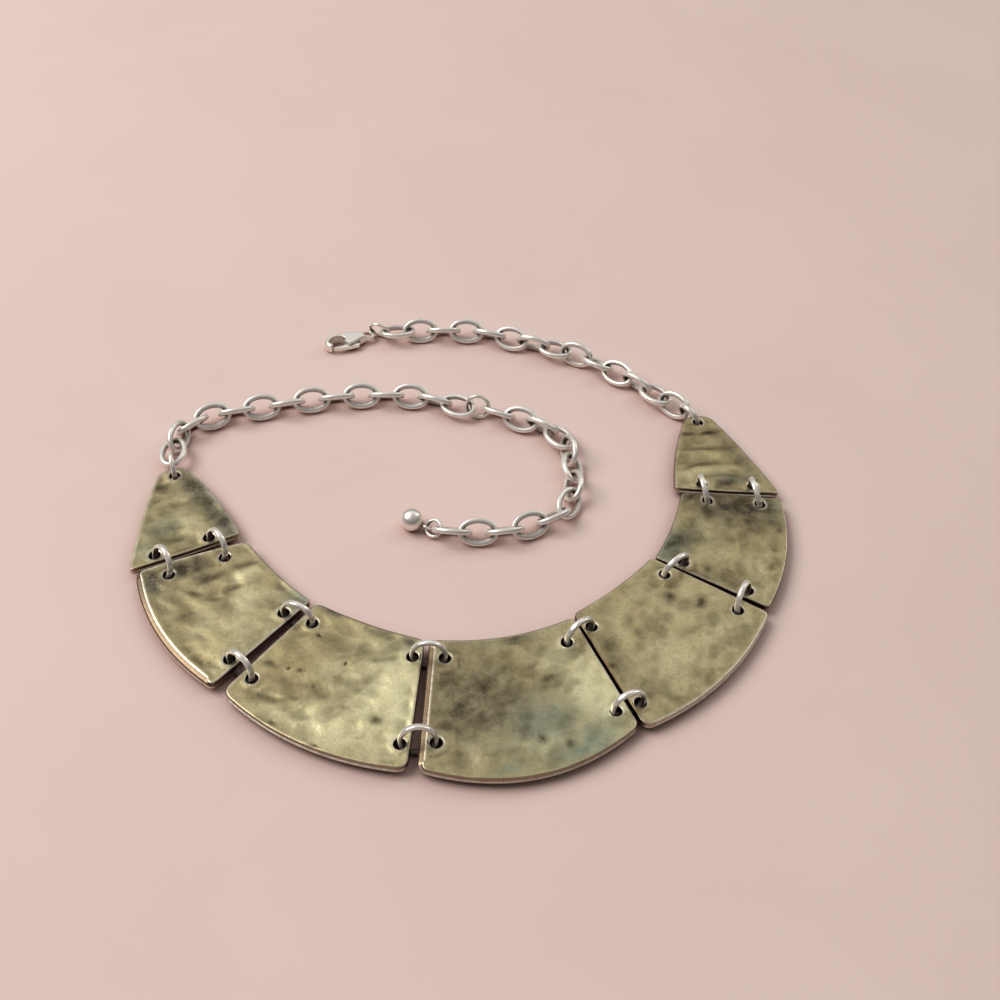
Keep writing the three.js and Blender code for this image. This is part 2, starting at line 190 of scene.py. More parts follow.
# Cloudy mottling with soft edges: where old polish has gone unevenly dull.
def makeMottleGroup():
    tree, given, out = newGroup("mottle", {"Scale": 400.0, "Low": 0.4, "High": 0.6}, ["Mask"])
    cloud = noise(tree, given, "Scale", detail=4.0, roughness=0.6, distortion=0.4)
    feed(tree, out.inputs["Mask"], remap(tree, cloud, given.outputs["Low"], given.outputs["High"]))
    return tree


grain = {
    "fineShare": 0.35,  # of the fine grain in the height
    "speck": (0.3, 0.7),  # where specks begin and are full
}


# Fine grain of worked metal: specks and a soft unevenness, as a height, and the specks as a mask.
def makeGrainGroup():
    tree, given, out = newGroup("metalGrain", {"Fineness": 2600.0, "Softness": 700.0}, ["Height", "Speck"])
    fine = noise(tree, given, "Fineness", detail=3.0, roughness=0.65)
    soft = noise(tree, given, "Softness", detail=2.0, roughness=0.5)
    feed(tree, out.inputs["Height"], plus(tree, times(tree, fine, grain["fineShare"]), soft))
    feed(tree, out.inputs["Speck"], remap(tree, fine, *grain["speck"]))
    return tree


mottle = makeMottleGroup()
metalGrain = makeGrainGroup()


# Mottling as a mask; the settings are how fine it is, where it begins and where it is full.
def mottled(tree, place, settings):
    sockets = dict(zip(("Vector", "Scale", "Low", "High"), (place, *settings)))
    return useGroup(tree, mottle, sockets).outputs["Mask"]


def newMaterial(name):
    made = bpy.data.materials.new(name)
    made.use_nodes = True
    tree = made.node_tree
    tree.nodes.clear()
    shader = addNode(tree, "ShaderNodeBsdfPrincipled")
    out = addNode(tree, "ShaderNodeOutputMaterial")
    tree.links.new(shader.outputs["BSDF"], out.inputs["Surface"])
    place = addNode(tree, "ShaderNodeTexCoord").outputs["Object"]
    return made, tree, shader, place


def bump(tree, shader, worked, strength, distance):
    sockets = {"Height": worked.outputs["Height"], "Strength": strength, "Distance": distance}
    feed(tree, shader.inputs["Normal"], addNode(tree, "ShaderNodeBump", sockets).outputs["Normal"])


print("metal finishes")

brass = {
    "mid": (0.46, 0.375, 0.20, 1),
    "light": (0.90, 0.83, 0.50, 1),
    "shade": (0.165, 0.130, 0.066, 1),
    "dark": (0.070, 0.052, 0.028, 1),
    "smoke": (0.062, 0.053, 0.045, 1),
    "bloom": (0.29, 0.35, 0.26, 1),
    "warm": (0.42, 0.295, 0.135, 1),
    "wearAndHighlight": (0.95, 0.89, 0.76, 1),
    "wall": (0.53, 0.335, 0.22, 1),
    # painted shade for the cut edges in the gaps, the holes and the underside
    "paintedShade": (0.048, 0.019, 0.011, 1),
    "roughness": 0.34,
    "dullness": 0.16,  # more roughness where it is tarnished
    "speckle": (0.06, -0.03),  # and from bare to speck
    "rimMetal": 0.55,  # the rubbed and highlighted corners are paler, and less metallic
    "grain": {"Fineness": 3200.0, "Softness": 900.0},
    "bump": (0.35, 0.00012),  # strength and distance
    "cloud": (230.0, 0.36, 0.66),  # mottling of the polish
    "patch": (480.0, 0.38, 0.66),  # of the polish and the tarnish
    "dusk": (310.0, 0.50, 0.68),  # of the dull spots
    "dapple": (1350.0, 0.36, 0.64),  # fine unevenness
    "wornAndLit": (1100.0, 0.34, 0.52),  # of the rubbed corners and their painted highlights
    "cloudShine": 0.25,
    "patchShine": (0.75, 1.1),
    "duskShare": (0.48, 0.1),  # without the painted reflection and with it
    "warmShare": 0.9,
    "broken": (0.55, 0.45),  # share of patches and of specks in how tarnish breaks up
    "bloomBreaks": (0, 1, 0.6, 1.15),
    "smokeBreaks": (0.1, 0.8, 0.5, 1.35),
    "stainAndShadeBreaks": (0.1, 0.8, 0.6, 1.2),
    "freckles": (0.0, 0.6, 0.28, 0.0),
    "dappleShade": 0.18,
    "dappleBloom": (0.0, 0.7, 0.10, 0.0),
    "rimBreakup": (0.6, 1.0),
    "bloomDull": 0.6,
}


def makeBrass():
    made, tree, shader, place = newMaterial("hammeredBrass")
    cloud = mottled(tree, place, brass["cloud"])
    patch = mottled(tree, place, brass["patch"])
    worked = useGroup(tree, metalGrain, {"Vector": place, **brass["grain"]})
    speck, paintedReflection = worked.outputs["Speck"], attribute(tree, "paintedReflection")

    # polished high spots, painted reflections where the plates mirror bright light, and dull ones
    shine = plus(tree, paintedReflection, times(tree, cloud, brass["cloudShine"]))
    shine = times(tree, shine, remap(tree, patch, 0, 1, *brass["patchShine"]), clamp=True)
    dusk = times(tree, mottled(tree, place, brass["dusk"]), remap(tree, paintedReflection, 0, 1, *brass["duskShare"]))

    # tarnish, stains and the dents' painted shade break up at their edges
    patchShare, speckShare = brass["broken"]
    broken = plus(tree, times(tree, patch, patchShare), times(tree, speck, speckShare))
    bloom, smoke, hollow = (
        times(tree, attribute(tree, name), remap(tree, broken, *brass[name + "Breaks"]), clamp=True)
        for name in ("bloom", "smoke", "stainAndShade")
    )
    dapple = mottled(tree, place, brass["dapple"])
    # corners rubbed bright, partly a painted highlight
    wearAndHighlight = remap(tree, mottled(tree, place, brass["wornAndLit"]), 0, 1, *brass["rimBreakup"])
    wearAndHighlight = times(tree, attribute(tree, "wearAndHighlight"), wearAndHighlight)
    layers = [
        (dusk, "shade"),
        (times(tree, attribute(tree, "warm"), brass["warmShare"]), "warm"),
        (bloom, "bloom"),
        (smoke, "smoke"),
        # the dents' stains and painted shade, and the darkened lowest parts of the relief
        (hollow, "dark"),
        (remap(tree, speck, *brass["freckles"]), "dark"),
        (times(tree, dapple, brass["dappleShade"]), "shade"),
        (remap(tree, dapple, *brass["dappleBloom"]), "bloom"),
        (attribute(tree, "wall"), "wall"),  # the cut edge is coppery
        (attribute(tree, "paintedShade"), "paintedShade"),  # and has painted shade where it faces a neighbour, in the holes and underneath
        (wearAndHighlight, "wearAndHighlight"),  # and its corners are rubbed bright, with painted highlights
    ]
    colour = mixColour(tree, shine, brass["mid"], brass["light"])
    for share, name in layers:
        colour = mixColour(tree, share, colour, brass[name])
    feed(tree, shader.inputs["Base Color"], colour)

    feed(tree, shader.inputs["Metallic"], remap(tree, wearAndHighlight, 0, 1, 1.0, brass["rimMetal"]))
    dull = calc(tree, "MAXIMUM", calc(tree, "MAXIMUM", smoke, hollow), times(tree, bloom, brass["bloomDull"]))
    rough = plus(tree, remap(tree, speck, 0, 1, *brass["speckle"]), times(tree, dull, brass["dullness"]))
    feed(tree, shader.inputs["Roughness"], plus(tree, rough, brass["roughness"]))
    bump(tree, shader, worked, *brass["bump"])
    return made


silver = {
    "bright": (0.99, 0.95, 0.89, 1),
    "dull": (0.84, 0.795, 0.73, 1),
    "black": (0.045, 0.030, 0.020, 1),
    "cloud": (520.0, 0.38, 0.64),
    "grain": {"Fineness": 5200.0, "Softness": 1500.0},
    "bump": (0.15, 0.00006),  # strength and distance
    "cloudShine": 0.5,
    "speckShine": 0.4,
    "dirtBreaks": (0.25, 0.15),  # less and more dirt and painted shade, from bare to speck
    "speckle": (0.07, -0.04),  # and more and less roughness
    "dullness": 0.25,
}


# Less than fully metallic where the plating has a pale bloom over it. drawn is how rough its wire is.
def makeSilver(name, roughness, metallic, drawn=1.0):
    made, tree, shader, place = newMaterial(name)
    cloud = mottled(tree, place, silver["cloud"])
    worked = useGroup(tree, metalGrain, {"Vector": place, **silver["grain"]})
    speck = worked.outputs["Speck"]
    shine = times(tree, speck, silver["speckShine"] * drawn)
    shine = plus(tree, times(tree, cloud, silver["cloudShine"]), shine, clamp=True)
    colour = mixColour(tree, shine, silver["dull"], silver["bright"])
    # painted shade and dirt in the wire's contacts and on its inner side
    less, more = silver["dirtBreaks"]
    spread = remap(tree, speck, 0, 1, 1 - less * drawn, 1 + more * drawn)
    dirtAndShade = times(tree, attribute(tree, "dirtAndShade"), spread, clamp=True)
    colour = mixColour(tree, dirtAndShade, colour, silver["black"])
    feed(tree, shader.inputs["Base Color"], colour)
    shader.inputs["Metallic"].default_value = metallic
    rough = remap(tree, speck, 0, 1, *(value * drawn for value in silver["speckle"]))
    rough = plus(tree, rough, times(tree, dirtAndShade, silver["dullness"]))
    feed(tree, shader.inputs["Roughness"], plus(tree, rough, roughness))
    bump(tree, shader, worked, silver["bump"][0] * drawn, silver["bump"][1])
    return made


hammeredBrass = makeBrass()
chainSilver = makeSilver("chainSilver", 0.33, 0.62)
ringSilver = makeSilver("ringSilver", 0.22, 0.55, 0.3)
ballSilver = makeSilver("satinSilver", 0.36, 0.85)
claspSilver = makeSilver("claspSilver", 0.28, 0.70)

print("plates")

plateSize = {
    "top": 3.1,  # height of the highest spots
    "thickness": 1.5,
    "crown": 0.1,  # how far they stand above the plain sheet
    "holeRadius": 1.15,
    "cell": 0.22,  # size of the mesh's squares
    "room": 0.65,  # squares closer to the edge than this share of one are cut out
    "holeStep": 0.6,  # along a hole's edge, as a share of a square
    "steps": (1.0, 1.05, 0.95, 1.1, 0.9),  # along the outline, the same; the first that closes, or the last
    "inset": 0.5,  # how far the rounded upper edge reaches in
    "shoulder": 1.5,  # and how far a sloping shoulder does
    "insetLimit": 0.7,  # neither reaches further than this share of a corner's radius
    "cornerReach": 4,  # points each way over which the tightest bend counts, and how often it is smoothed
    "cornerSmooth": 6,
    "lip": 0.4,  # below this the edge's lower lip begins
    "under": 0.85,  # painted shade on the underside, and how many of a section's last rows belong to it
    "underRows": 2,
    "innerRim": 0.4,  # share of the corner's brightness, partly a painted highlight, that reaches the top
    "wearAndLightBlend": 1.6,  # how far one edge's wear, painted highlight and painted shade run into the next
    "shapeBlend": 0.8,  # and its shape
    "easeBlend": 0.7,  # and the shoulder's softening of the relief
}
holeWearAndLight = (0.6, 0.95, 0.0)  # as in the edges' table, for the holes, whose walls get painted shade

# Holes and corners that two outlines share.
sidePlateHoles = [(-12.7, -6.4), (-9.9, 4.9), (9.6, 6.6), (12.8, -7.6)]
innerPlateHoles = [(-15.7, -6.9), (-10.5, 9.0), (10.9, 8.3), (15.75, -10.6)]
innerPlateCorners = [(19.0, -15.2, 2.4, 0), (11.7, 13.0, 1.6, -0.8), (-11.7, 14.0, 1.6, 0)]

# Plate outlines, anticlockwise, +y towards the neck: x, y, the corner's rounding, and how far the edge
# after that corner stands out. Holes are x, y.
outlines = {
    "endPlate": {
        "corners": [
            (-11.9, -14.9, 1.2, 0.2), (11.3, -10.5, 1.2, 1.0), (2.6, 12.4, 2.2, 0), (-3.1, 12.0, 2.2, 0.6),
        ],
        "holes": [(-6.5, -11.8), (4.8, -9.8), (0.1, 10.1)],
    },
    "sidePlate": {
        "corners": [
            (-15.9, -10.9, 1.2, 2.5), (16.1, -12.55, 1.2, 0), (10.4, 12.6, 1, -0.8), (-10.4, 10.9, 1.2, 0.45),
        ],
        "holes": sidePlateHoles,
    },
    "shoulderedPlate": {
        "corners": [
            (-17.4, -11.5, 2.2, 3.1), (16.15, -13.6, 1.2, 0),
            (10.4, 12.6, 1, -0.8), (-10.9, 10.95, 1.8, 0.45),
        ],
        "holes": sidePlateHoles,
    },
    "innerPlate": {"corners": [(-19.7, -11.6, 2.4, 3.5), *innerPlateCorners], "holes": innerPlateHoles},
    "sharpInnerPlate": {"corners": [(-20.4, -11.4, 1.4, 3.5), *innerPlateCorners], "holes": innerPlateHoles},
    "middlePlate": {
        "corners": [
            (-21.7, -14.9, 1.6, 6.15), (20.6, -12.5, 1.6, 0), (14.0, 14.4, 1.4, -2.2), (-15.2, 13.3, 1.4, 0),
        ],
        "holes": [(-17.4, -10.1), (-12.9, 8.3), (11.4, 8.4), (17.0, -8.6)],
    },
}

# Where each plate lies: outline, 1 as drawn or -1 mirrored, x, y, turn.
plates = {
    "plate_1": ("endPlate", 1, -62.0, -3.5, 20.1),
    "plate_2": ("shoulderedPlate", 1, -46.6, -26.7, -47.3),
    "plate_3": ("innerPlate", 1, -21.5, -42.8, -15.4),
    "plate_4": ("middlePlate", 1, 12.0, -42.5, 13.7),
    "plate_5": ("sharpInnerPlate", -1, 39.6, -26.1, 42.6),
    "plate_6": ("sidePlate", -1, 54.1, -0.9, 76.0),
    "plate_7": ("endPlate", -1, 53.5, 25.4, 12.2),
}

# The tables are laid out about the bib's middle; the frame's origin is the middle of the whole box.
extenderRingPlace = Vector((-0.8, 35.2, 3.1))
low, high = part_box("extender_ring")
layoutShift = (low + high) / 2 / mm - extenderRingPlace

# Single dents: x, y, half length, half width, turn, depth, and how dark the dent is painted, partly its stain
# and partly painted shade.
dents = {
    "plate_1": [
        (-3.2, 7.6, 1.6, 1.1, 0, 0.12, 0.7), (3, 7.4, 2.2, 1.4, 20, 0.12, 0.6),
        (0, 1.6, 5.5, 0.9, 0, 0.1, 0.35), (-1.5, -7.5, 1.6, 1, 30, 0.08, 0.3),
        (5.5, -3.5, 3, 1.6, -60, 0.1, 0.35), (-4.5, -4.5, 2.5, 1.2, 70, 0.07, 0.2),
    ],
    "plate_2": [
        (-6.8, 0.5, 3.2, 0.9, 80, 0.16, 0.8), (-5.8, 7.5, 3, 0.8, 72, 0.14, 0.55),
        (-2, 2.2, 2, 0.7, 75, 0.15, 0.7), (-2.2, -2.3, 2.2, 0.8, 60, 0.12, 0.45),
        (-5.2, -4.6, 2.2, 0.9, 35, 0.14, 0.6), (-1.6, -8.2, 2.4, 0.9, 80, 0.14, 0.6),
        (-11, 0, 3, 1.4, 85, 0.12, 0.5), (4, -9.5, 2.5, 1, 20, 0.08, 0.25), (8, 0, 2, 1, 90, 0.06, 0.2),
    ],
    "plate_3": [
        (-8, 6.8, 0.55, 0.4, 0, 0.12, 1), (-10.1, -2.4, 0.45, 0.3, 60, 0.1, 0.9),
        (-7.9, -2.1, 0.6, 0.35, 30, 0.1, 0.8), (-0.5, 2.4, 0.35, 0.5, 0, 0.1, 0.9),
        (-4, -4.4, 0.5, 0.4, 50, 0.08, 0.7), (9.9, -7.1, 1.3, 1.2, 0, 0.14, 0.8),
        (-8, -14.3, 0.7, 0.5, 0, 0.1, 0.7), (1.4, -16.3, 0.9, 0.4, 0, 0.1, 0.8),
        (8, -12, 0.5, 0.3, 0, 0.05, 0.5), (4.6, -0.5, 3.4, 1.1, 62, 0.16, 0.5),
        (2.2, -8, 3, 1, 65, 0.12, 0.35), (-9, -5, 3, 1.6, 0, 0.14, 0.4), (-12, -9.5, 3.5, 0.9, 0, 0.16, 0.65),
        (-13.8, -2.6, 1.8, 0.8, 0, 0.12, 0.65), (-3.5, -11, 3, 1.2, 10, 0.1, 0.25),
        (-6.5, -8, 1.5, 1, 30, 0.1, 0.3), (5.5, 6.3, 3.5, 1, 30, 0.12, 0.3), (-3, 8, 3, 1.5, 0, 0.1, 0.25),
        (-12, 3.5, 1.5, 2, 0, 0.08, 0.25), (0, 5, 2.5, 1, 40, 0.08, 0.2), (14, 2, 1.5, 0.5, 60, 0.05, 0.2),
    ],
    "plate_4": [
        (-6.2, 0.9, 2.2, 1.1, 20, 0.18, 0.8), (-2.2, 4, 2.8, 0.9, 45, 0.14, 0.5),
        (-12.8, 3.2, 2.2, 1.2, 0, 0.12, 0.5), (-12, -4, 2, 1.2, 0, 0.14, 0.5),
        (-8.6, -7, 2.2, 1.2, 20, 0.14, 0.55), (-4.6, -6.6, 1.6, 0.9, 30, 0.12, 0.45),
        (-2, -2.8, 2.6, 0.8, 15, 0.1, 0.35), (6.3, 0.7, 2.6, 1.1, 18, 0.16, 0.6),
        (3.5, 3.3, 2, 0.8, 45, 0.12, 0.35), (2.1, -12.2, 1.1, 1.3, 0, 0.14, 0.7),
        (7, -13.8, 1.2, 1.7, -20, 0.16, 0.6), (6, 7.2, 1.6, 1, 30, 0.12, 0.4),
        (11.2, -1, 1, 0.7, 0, 0.08, 0.45), (1.6, 10.4, 2.4, 1, 0, 0.1, 0.55),
        (12.8, 6.3, 1.8, 1, 0, 0.1, 0.4), (-13.5, -12.5, 1, 2, 0, 0.08, 0.3), (-4, -14, 3, 1, 0, 0.08, 0.25),
        (8, -8.5, 1.8, 1.5, 30, 0.1, 0.3),
    ],
    "plate_5": [
        (7, 4, 1.6, 1.6, 0, 0.14, 0.75), (-4.4, 1.5, 0.9, 1.1, 0, 0.1, 0.6),
        (11.2, -0.8, 1.5, 1.1, 30, 0.14, 0.85), (0.3, -0.4, 1.3, 0.9, 0, 0.1, 0.4),
        (-13.9, -1, 0.9, 1, 0, 0.1, 0.6), (3.8, -4.3, 2, 1, 0, 0.08, 0.3), (-10, -13, 1.1, 2.6, 0, 0.1, 0.45),
        (-2, -12.5, 1.3, 2.2, 0, 0.08, 0.35), (9.5, 6, 1.5, 1, 0, 0.08, 0.4), (-8, 7, 1, 2, 0, 0.08, 0.25),
        (8, -10, 2.5, 1.4, 20, 0.08, 0.3), (1.5, 6.5, 2, 1, 0, 0.06, 0.25), (14, -6, 2, 1, 20, 0.06, 0.2),
        (-6, -5, 2, 1.5, 0, 0.06, 0.2),
    ],
    "plate_6": [
        (10, 8.6, 1.4, 1, -30, 0.12, 0.9), (6.3, 4, 1.8, 1.2, 10, 0.14, 0.8), (12, 3, 1.5, 2.5, 20, 0.1, 0.7),
        (11.5, -2, 2, 1.6, 0, 0.14, 0.85), (7, -4.8, 2, 1.4, 0, 0.12, 0.7), (4, -1, 1.5, 1.5, 0, 0.08, 0.4),
        (12, -8, 2.5, 1.5, 0, 0.12, 0.8), (4.5, -6, 1, 1.6, 0, 0.08, 0.5),
        (-4.8, -11.2, 1.2, 0.8, 0, 0.1, 0.6), (0.5, -11.3, 1, 0.8, 0, 0.08, 0.4),
        (6.5, -11.5, 1, 0.7, 0, 0.08, 0.6), (-9.8, 1.4, 0.8, 0.7, 0, 0.08, 0.6),
        (2, 7, 1.6, 1.2, 0, 0.08, 0.4), (-2, 3, 2, 1, 60, 0.06, 0.25), (1, -4, 1, 2, 0, 0.06, 0.3),
    ],
    "plate_7": [
        (-3.6, 6.9, 2, 0.6, -6, 0.22, 0.9), (1.4, 6.5, 2.8, 0.7, 8, 0.22, 0.85),
        (-1, 1.6, 5, 0.7, -4, 0.14, 0.45), (-1.5, -3.3, 6, 0.8, -6, 0.14, 0.45),
        (2, -7.3, 5, 0.9, -5, 0.12, 0.4), (-6, -4, 2, 0.7, 20, 0.1, 0.5), (1, -9.8, 2.8, 1.2, 0, 0.14, 0.35),
        (5.5, -4, 2.5, 1.3, -40, 0.1, 0.4), (6, -9, 1.5, 1, 0, 0.08, 0.4),
    ],
}

# Tints of the finish, and painted reflections: x, y, half width across x and along y, turn, strength.
tints = {
    "plate_1": {
        "smoke": [
            (4.4, 4, 8, 2.6, -66, 0.9), (8.4, -6, 4.5, 2.2, -62, 0.9), (-1, 8, 5, 2.5, 0, 0.4),
            (-6, -7.5, 3, 2, 30, 0.25),
        ],
        "bloom": [
            (6.5, 0, 9, 2.4, -66, 0.6), (9, -8.5, 3.4, 2.4, 0, 0.7), (-3.5, -4.5, 4, 3.4, 20, 0.6),
            (-8.5, -9.5, 3, 3, 0, 0.5),
        ],
        "paintedReflection": [(2, -4.5, 3, 2.5, 0, 0.3), (1.5, 2.5, 2.5, 2, 0, 0.2)],
    },
    "plate_2": {
        "smoke": [
            (-13, -10, 4, 3.4, 0, 1), (-12.4, -3.5, 2.6, 6, -12, 0.95), (-8.3, -2, 2.2, 3, 0, 0.6),
            (-9, -8.5, 3.5, 2.5, 0, 0.6), (9.5, 11.2, 2.4, 1.4, 0, 0.35),
        ],
        "bloom": [(-12.5, -11.5, 3, 2, 0, 0.4), (9.3, 11, 3.6, 2.6, 0, 1), (13.5, -3, 2, 6, 0, 0.35)],
        "paintedReflection": [
            (-3.5, 6.5, 1.6, 3.5, 0, 0.7), (3, 2, 3, 4, 0, 0.6), (7, -2, 4, 4, 0, 0.4), (2, -7, 3, 3, 0, 0.3),
        ],
    },
    "plate_3": {
        "smoke": [
            (-8, 12.9, 3, 0.9, -10, 0.9), (4, 11.7, 2.2, 1.2, 0, 0.95), (9.3, 11.6, 2, 1.3, 0, 0.9),
            (0, 12.6, 8, 0.5, -4, 0.5),
        ],
        "bloom": [(10, 10, 4, 1.5, 0, 0.3)],
        "paintedReflection": [
            (11, -2, 9, 13, 0, 1.15), (13, -4, 5, 9, 0, 1.2), (3, -12, 9, 4, 0, 0.9), (-9, -12, 4, 2, 0, 0.5),
            (-2, 0, 4, 4, 0, 0.4),
        ],
        "warm": [(-10, 0, 6, 9, 0, 0.3)],
    },
    "plate_4": {
        "smoke": [(-10, -2, 11, 11, 0, 0.68), (2, 11, 3, 1, 0, 0.6)],
        "bloom": [
            (12, -14, 5.5, 3.8, 35, 1), (8, -16, 4, 2, 20, 1), (5, -16, 4, 3, 0, 0.7),
            (-5, -17.5, 4, 1.5, 0, 0.7), (3, -9, 8, 6, 0, 0.85), (0, 11.5, 8, 1.5, 0, 0.35),
        ],
        "paintedReflection": [
            (14, -3, 5, 10, 15, 1.2), (9, 5, 4, 4, 0, 0.9), (4, -13, 8, 3, 0, 0.9),
            (-10, -12, 5, 2.5, 0, 0.25),
        ],
    },
    "plate_5": {
        "smoke": [(-12.3, 0, 1.9, 10, -12, 0.45)],
        "paintedReflection": [
            (-3, -6, 7, 6, 0, 0.55), (10, -8, 6, 4, 0, 0.5), (-6, 5, 5, 6, 0, 0.45), (4, 2, 9, 8, 0, 0.55),
        ],
        "warm": [(0, 4, 14, 10, 0, 0.4)],
    },
    "plate_6": {
        "smoke": [
            (10, 0, 5.4, 11, 0, 0.9), (7, 4, 3, 3, 0, 0.6), (-4.6, 9, 4.4, 2.2, -28, 0.95),
            (-12, 1, 2, 9, 12, 0.4),
        ],
        "bloom": [(-6.2, 9.8, 6, 3.2, -28, 1), (12.5, -8.5, 3, 3, 0, 0.6)],
        "paintedReflection": [(0, 0, 4, 6, 0, 0.15), (-6, -9, 4, 2.5, 0, 0.3)],
        "warm": [(2, -6, 9, 6, 0, 0.3)],
    },
    "plate_7": {
        "smoke": [(1.2, -10, 3.6, 1.5, 0, 0.75), (5, 0, 2, 9, 25, 0.55)],
        "bloom": [(2.5, -8.5, 4, 1.6, -10, 0.5)],
        "paintedReflection": [
            (0, -2, 9, 11, 0, 0.35), (0, 3.6, 4, 1.6, 0, 1), (-1.5, -1.2, 5, 1.5, 0, 1),
            (-2, -5.8, 6, 1.6, 0, 1), (-7, -7, 3, 2, 0, 0.8), (-5, -10, 4, 2, 0, 0.5),
        ],
        "warm": [(0, 0, 9, 13, 0, 0.6)],
    },
}

hammer = {
    "spacing": 3.9,  # between blows
    "rowSpacing": 0.87,  # and between their rows, as a share of that
    "scatter": 1.2,
    "long": (2.2, 3.6),  # half length and half width of a blow's mark
    "wide": (1.5, 2.3),
    "turn": (-20, 60),
    "depth": 0.30,
    "lightest": 0.35,  # the lightest blow, as a share of the depth
    "calm": {"plate_2": 0.7, "plate_1": 0.85},  # plates with shallower blows
    "blend": 0.018,  # how softly marks meet
    "wave": 0.1 / 3,  # height of the sheet's own waves, and how many there are
    "waves": 5,
    "waveLength": (9, 20),
    "wavePhase": (0, 6.28),
    "edgeShare": 0.35,  # how much of the relief is left at a plate's edge
    "shoulderLoss": 0.25,  # and how much less at a sloping shoulder
    "edgeFade": 1.6,  # how far in from there it is whole
    "hollowDarkening": 0.42,  # how much the lowest parts of the relief are darkened
    "hollows": (42, 3),  # lowest parts of a plate that are dark at all and darkest, in percent
    "stainAndShade": 1.3,  # strength of the single dents' stains and painted shade, and how much wider they are
    "stainReach": 1.1,
    "stainFrom": 0.8,  # how far in from the edge stains begin
    "stainFade": (4, 2.6),  # how they fade down the edge
}

# Sections of the plate's edges, from the top down: out from the outline, below the top, brightness of the
# corner (rubbed bright and partly a painted highlight), how far it is cut edge, and how much of the edge's
# painted shade takes to it.
edgeSections = {
    "lipped": [
        (-0.4, 0.03, 0.8, 0, 0.2), (-0.31, 0.09, 1, 0.1, 0.5), (-0.26, 0.18, 0.8, 0.5, 1),
        (-0.24, 0.3, 0.2, 1, 1), (-0.25, 0.62, 0, 1, 1), (-0.27, 0.76, 0.1, 1, 1), (-0.24, 0.83, 0.8, 0.8, 1),
        (-0.14, 0.88, 1, 0.6, 0.7), (-0.06, 0.94, 1, 0.6, 0.7), (-0.01, 1.04, 0.5, 0.9, 1),
        (0, 1.22, 0, 1, 1), (-0.05, 1.36, 0, 1, 1), (-0.16, 1.46, 0, 1, 1), (-0.3, 1.5, 0, 1, 1),
    ],
    "plain": [
        (-0.24, 0.03, 0.8, 0, 0.5), (-0.15, 0.06, 1, 0.2, 0.9), (-0.09, 0.12, 0.9, 0.5, 1),
        (-0.05, 0.2, 0.4, 0.8, 1), (-0.03, 0.3, 0.1, 1, 1), (-0.02, 0.55, 0, 1, 1), (-0.02, 0.8, 0, 1, 1),
        (-0.01, 1, 0, 1, 1), (0, 1.15, 0.3, 1, 1), (0, 1.27, 0.8, 0.8, 0.9), (-0.02, 1.36, 0.8, 0.8, 0.9),
        (-0.07, 1.43, 0.2, 1, 1), (-0.16, 1.48, 0, 1, 1), (-0.3, 1.5, 0, 1, 1),
    ],
    "shoulder": [
        (-1.36, 0.02, 0.4, 0, 0), (-1.25, 0.04, 0.9, 0, 0), (-1.14, 0.07, 0.6, 0, 0), (-1.06, 0.1, 0, 0.4, 1),
        (-0.93, 0.12, 0, 0.4, 1), (-0.84, 0.14, 0.05, 0.3, 0.8), (-0.6, 0.18, 0.04, 0.3, 0.8),
        (-0.36, 0.23, 0.03, 0.4, 0.9), (-0.2, 0.32, 0, 0.5, 0.9), (-0.09, 0.52, 0.05, 0.5, 0.8),
        (-0.02, 0.85, 0.9, 0.3, 0), (0, 1.15, 0.6, 0.6, 0), (-0.1, 1.44, 0, 1, 1), (-0.3, 1.5, 0, 1, 1),
    ],
}
holeSection = np.array([
    (-0.22, 0.03, 0.7, 0, 0), (-0.11, 0.08, 0.9, 0.2, 0.3), (-0.03, 0.18, 0.5, 0.6, 0.6), (0, 0.32, 0, 1, 1),
    (0, 0.6, 0, 1, 1), (0, 1, 0, 1, 1), (-0.01, 1.42, 0, 1, 1), (-0.08, 1.5, 0, 1, 1),
])

# Each plate's four edges, outer one first and then round with its corners as drawn: how bright the upper
# corner is (rubbed bright and partly a painted highlight), how much painted shade the cut edge has, and how
# bright its lower lip is (a painted highlight).
edgeWearAndLight = {
    "plate_1": [(0.35, 0.5, 0.4), (0.5, 0.6, 0.3), (0.3, 0.6, 0.2), (0.45, 0.3, 0.8)],
    "plate_2": [(0.9, 0.75, 1.0), (0.5, 0.85, 0.45), (0.25, 0.7, 0.2), (0.8, 0.6, 0.5)],
    "plate_3": [(0.15, 0.45, 0.95), (0.2, 1.0, 0.1), (0.1, 0.9, 0.2), (0.5, 0.9, 0.3)],
    "plate_4": [(0.1, 0.45, 0.75), (0.5, 1.0, 0.1), (0.25, 0.8, 0.3), (0.7, 0.55, 0.7)],
    "plate_5": [(1.0, 0.1, 0.95), (0.0, 1.0, 0.25), (0.3, 0.8, 0.3), (0.4, 0.9, 0.1)],
    "plate_6": [(0.35, 0.85, 0.3), (0.25, 0.8, 0.15), (0.25, 0.8, 0.2), (0.05, 1.0, 0.25)],
    "plate_7": [(0.3, 0.35, 1.0), (0.25, 0.8, 0.3), (0.1, 0.9, 0.2), (0.2, 0.85, 0.3)],
}

# The sections of the four edges; two plates had one side hammered down to a sloping shoulder.
commonEdges = ("lipped", "plain", "plain", "plain")
shoulderedEdges = {
    "plate_2": ("shoulder", "plain", "plain", "plain"),
    "plate_4": ("lipped", "plain", "plain", "shoulder"),
}


edgeSteps, bendSteps = 80, 26  # points along an edge and round a corner, before they are spaced evenly


def curvePoints(first, control, last, steps, start=0.0, end=1.0):
    t = np.linspace(start, end, steps)[:, None]
    return (1 - t) ** 2 * first + 2 * t * (1 - t) * control + t * t * last


def outlineCorners(outline, side):
    corners = outlines[outline]["corners"]
    count = len(corners)
    if side > 0:
        return [(*corner, i) for i, corner in enumerate(corners)]
    turned = [
        (-x, y, rounding, corners[i - 1][3], (i - 1) % count) for i, (x, y, rounding, _) in enumerate(corners)
    ]
    return turned[::-1]


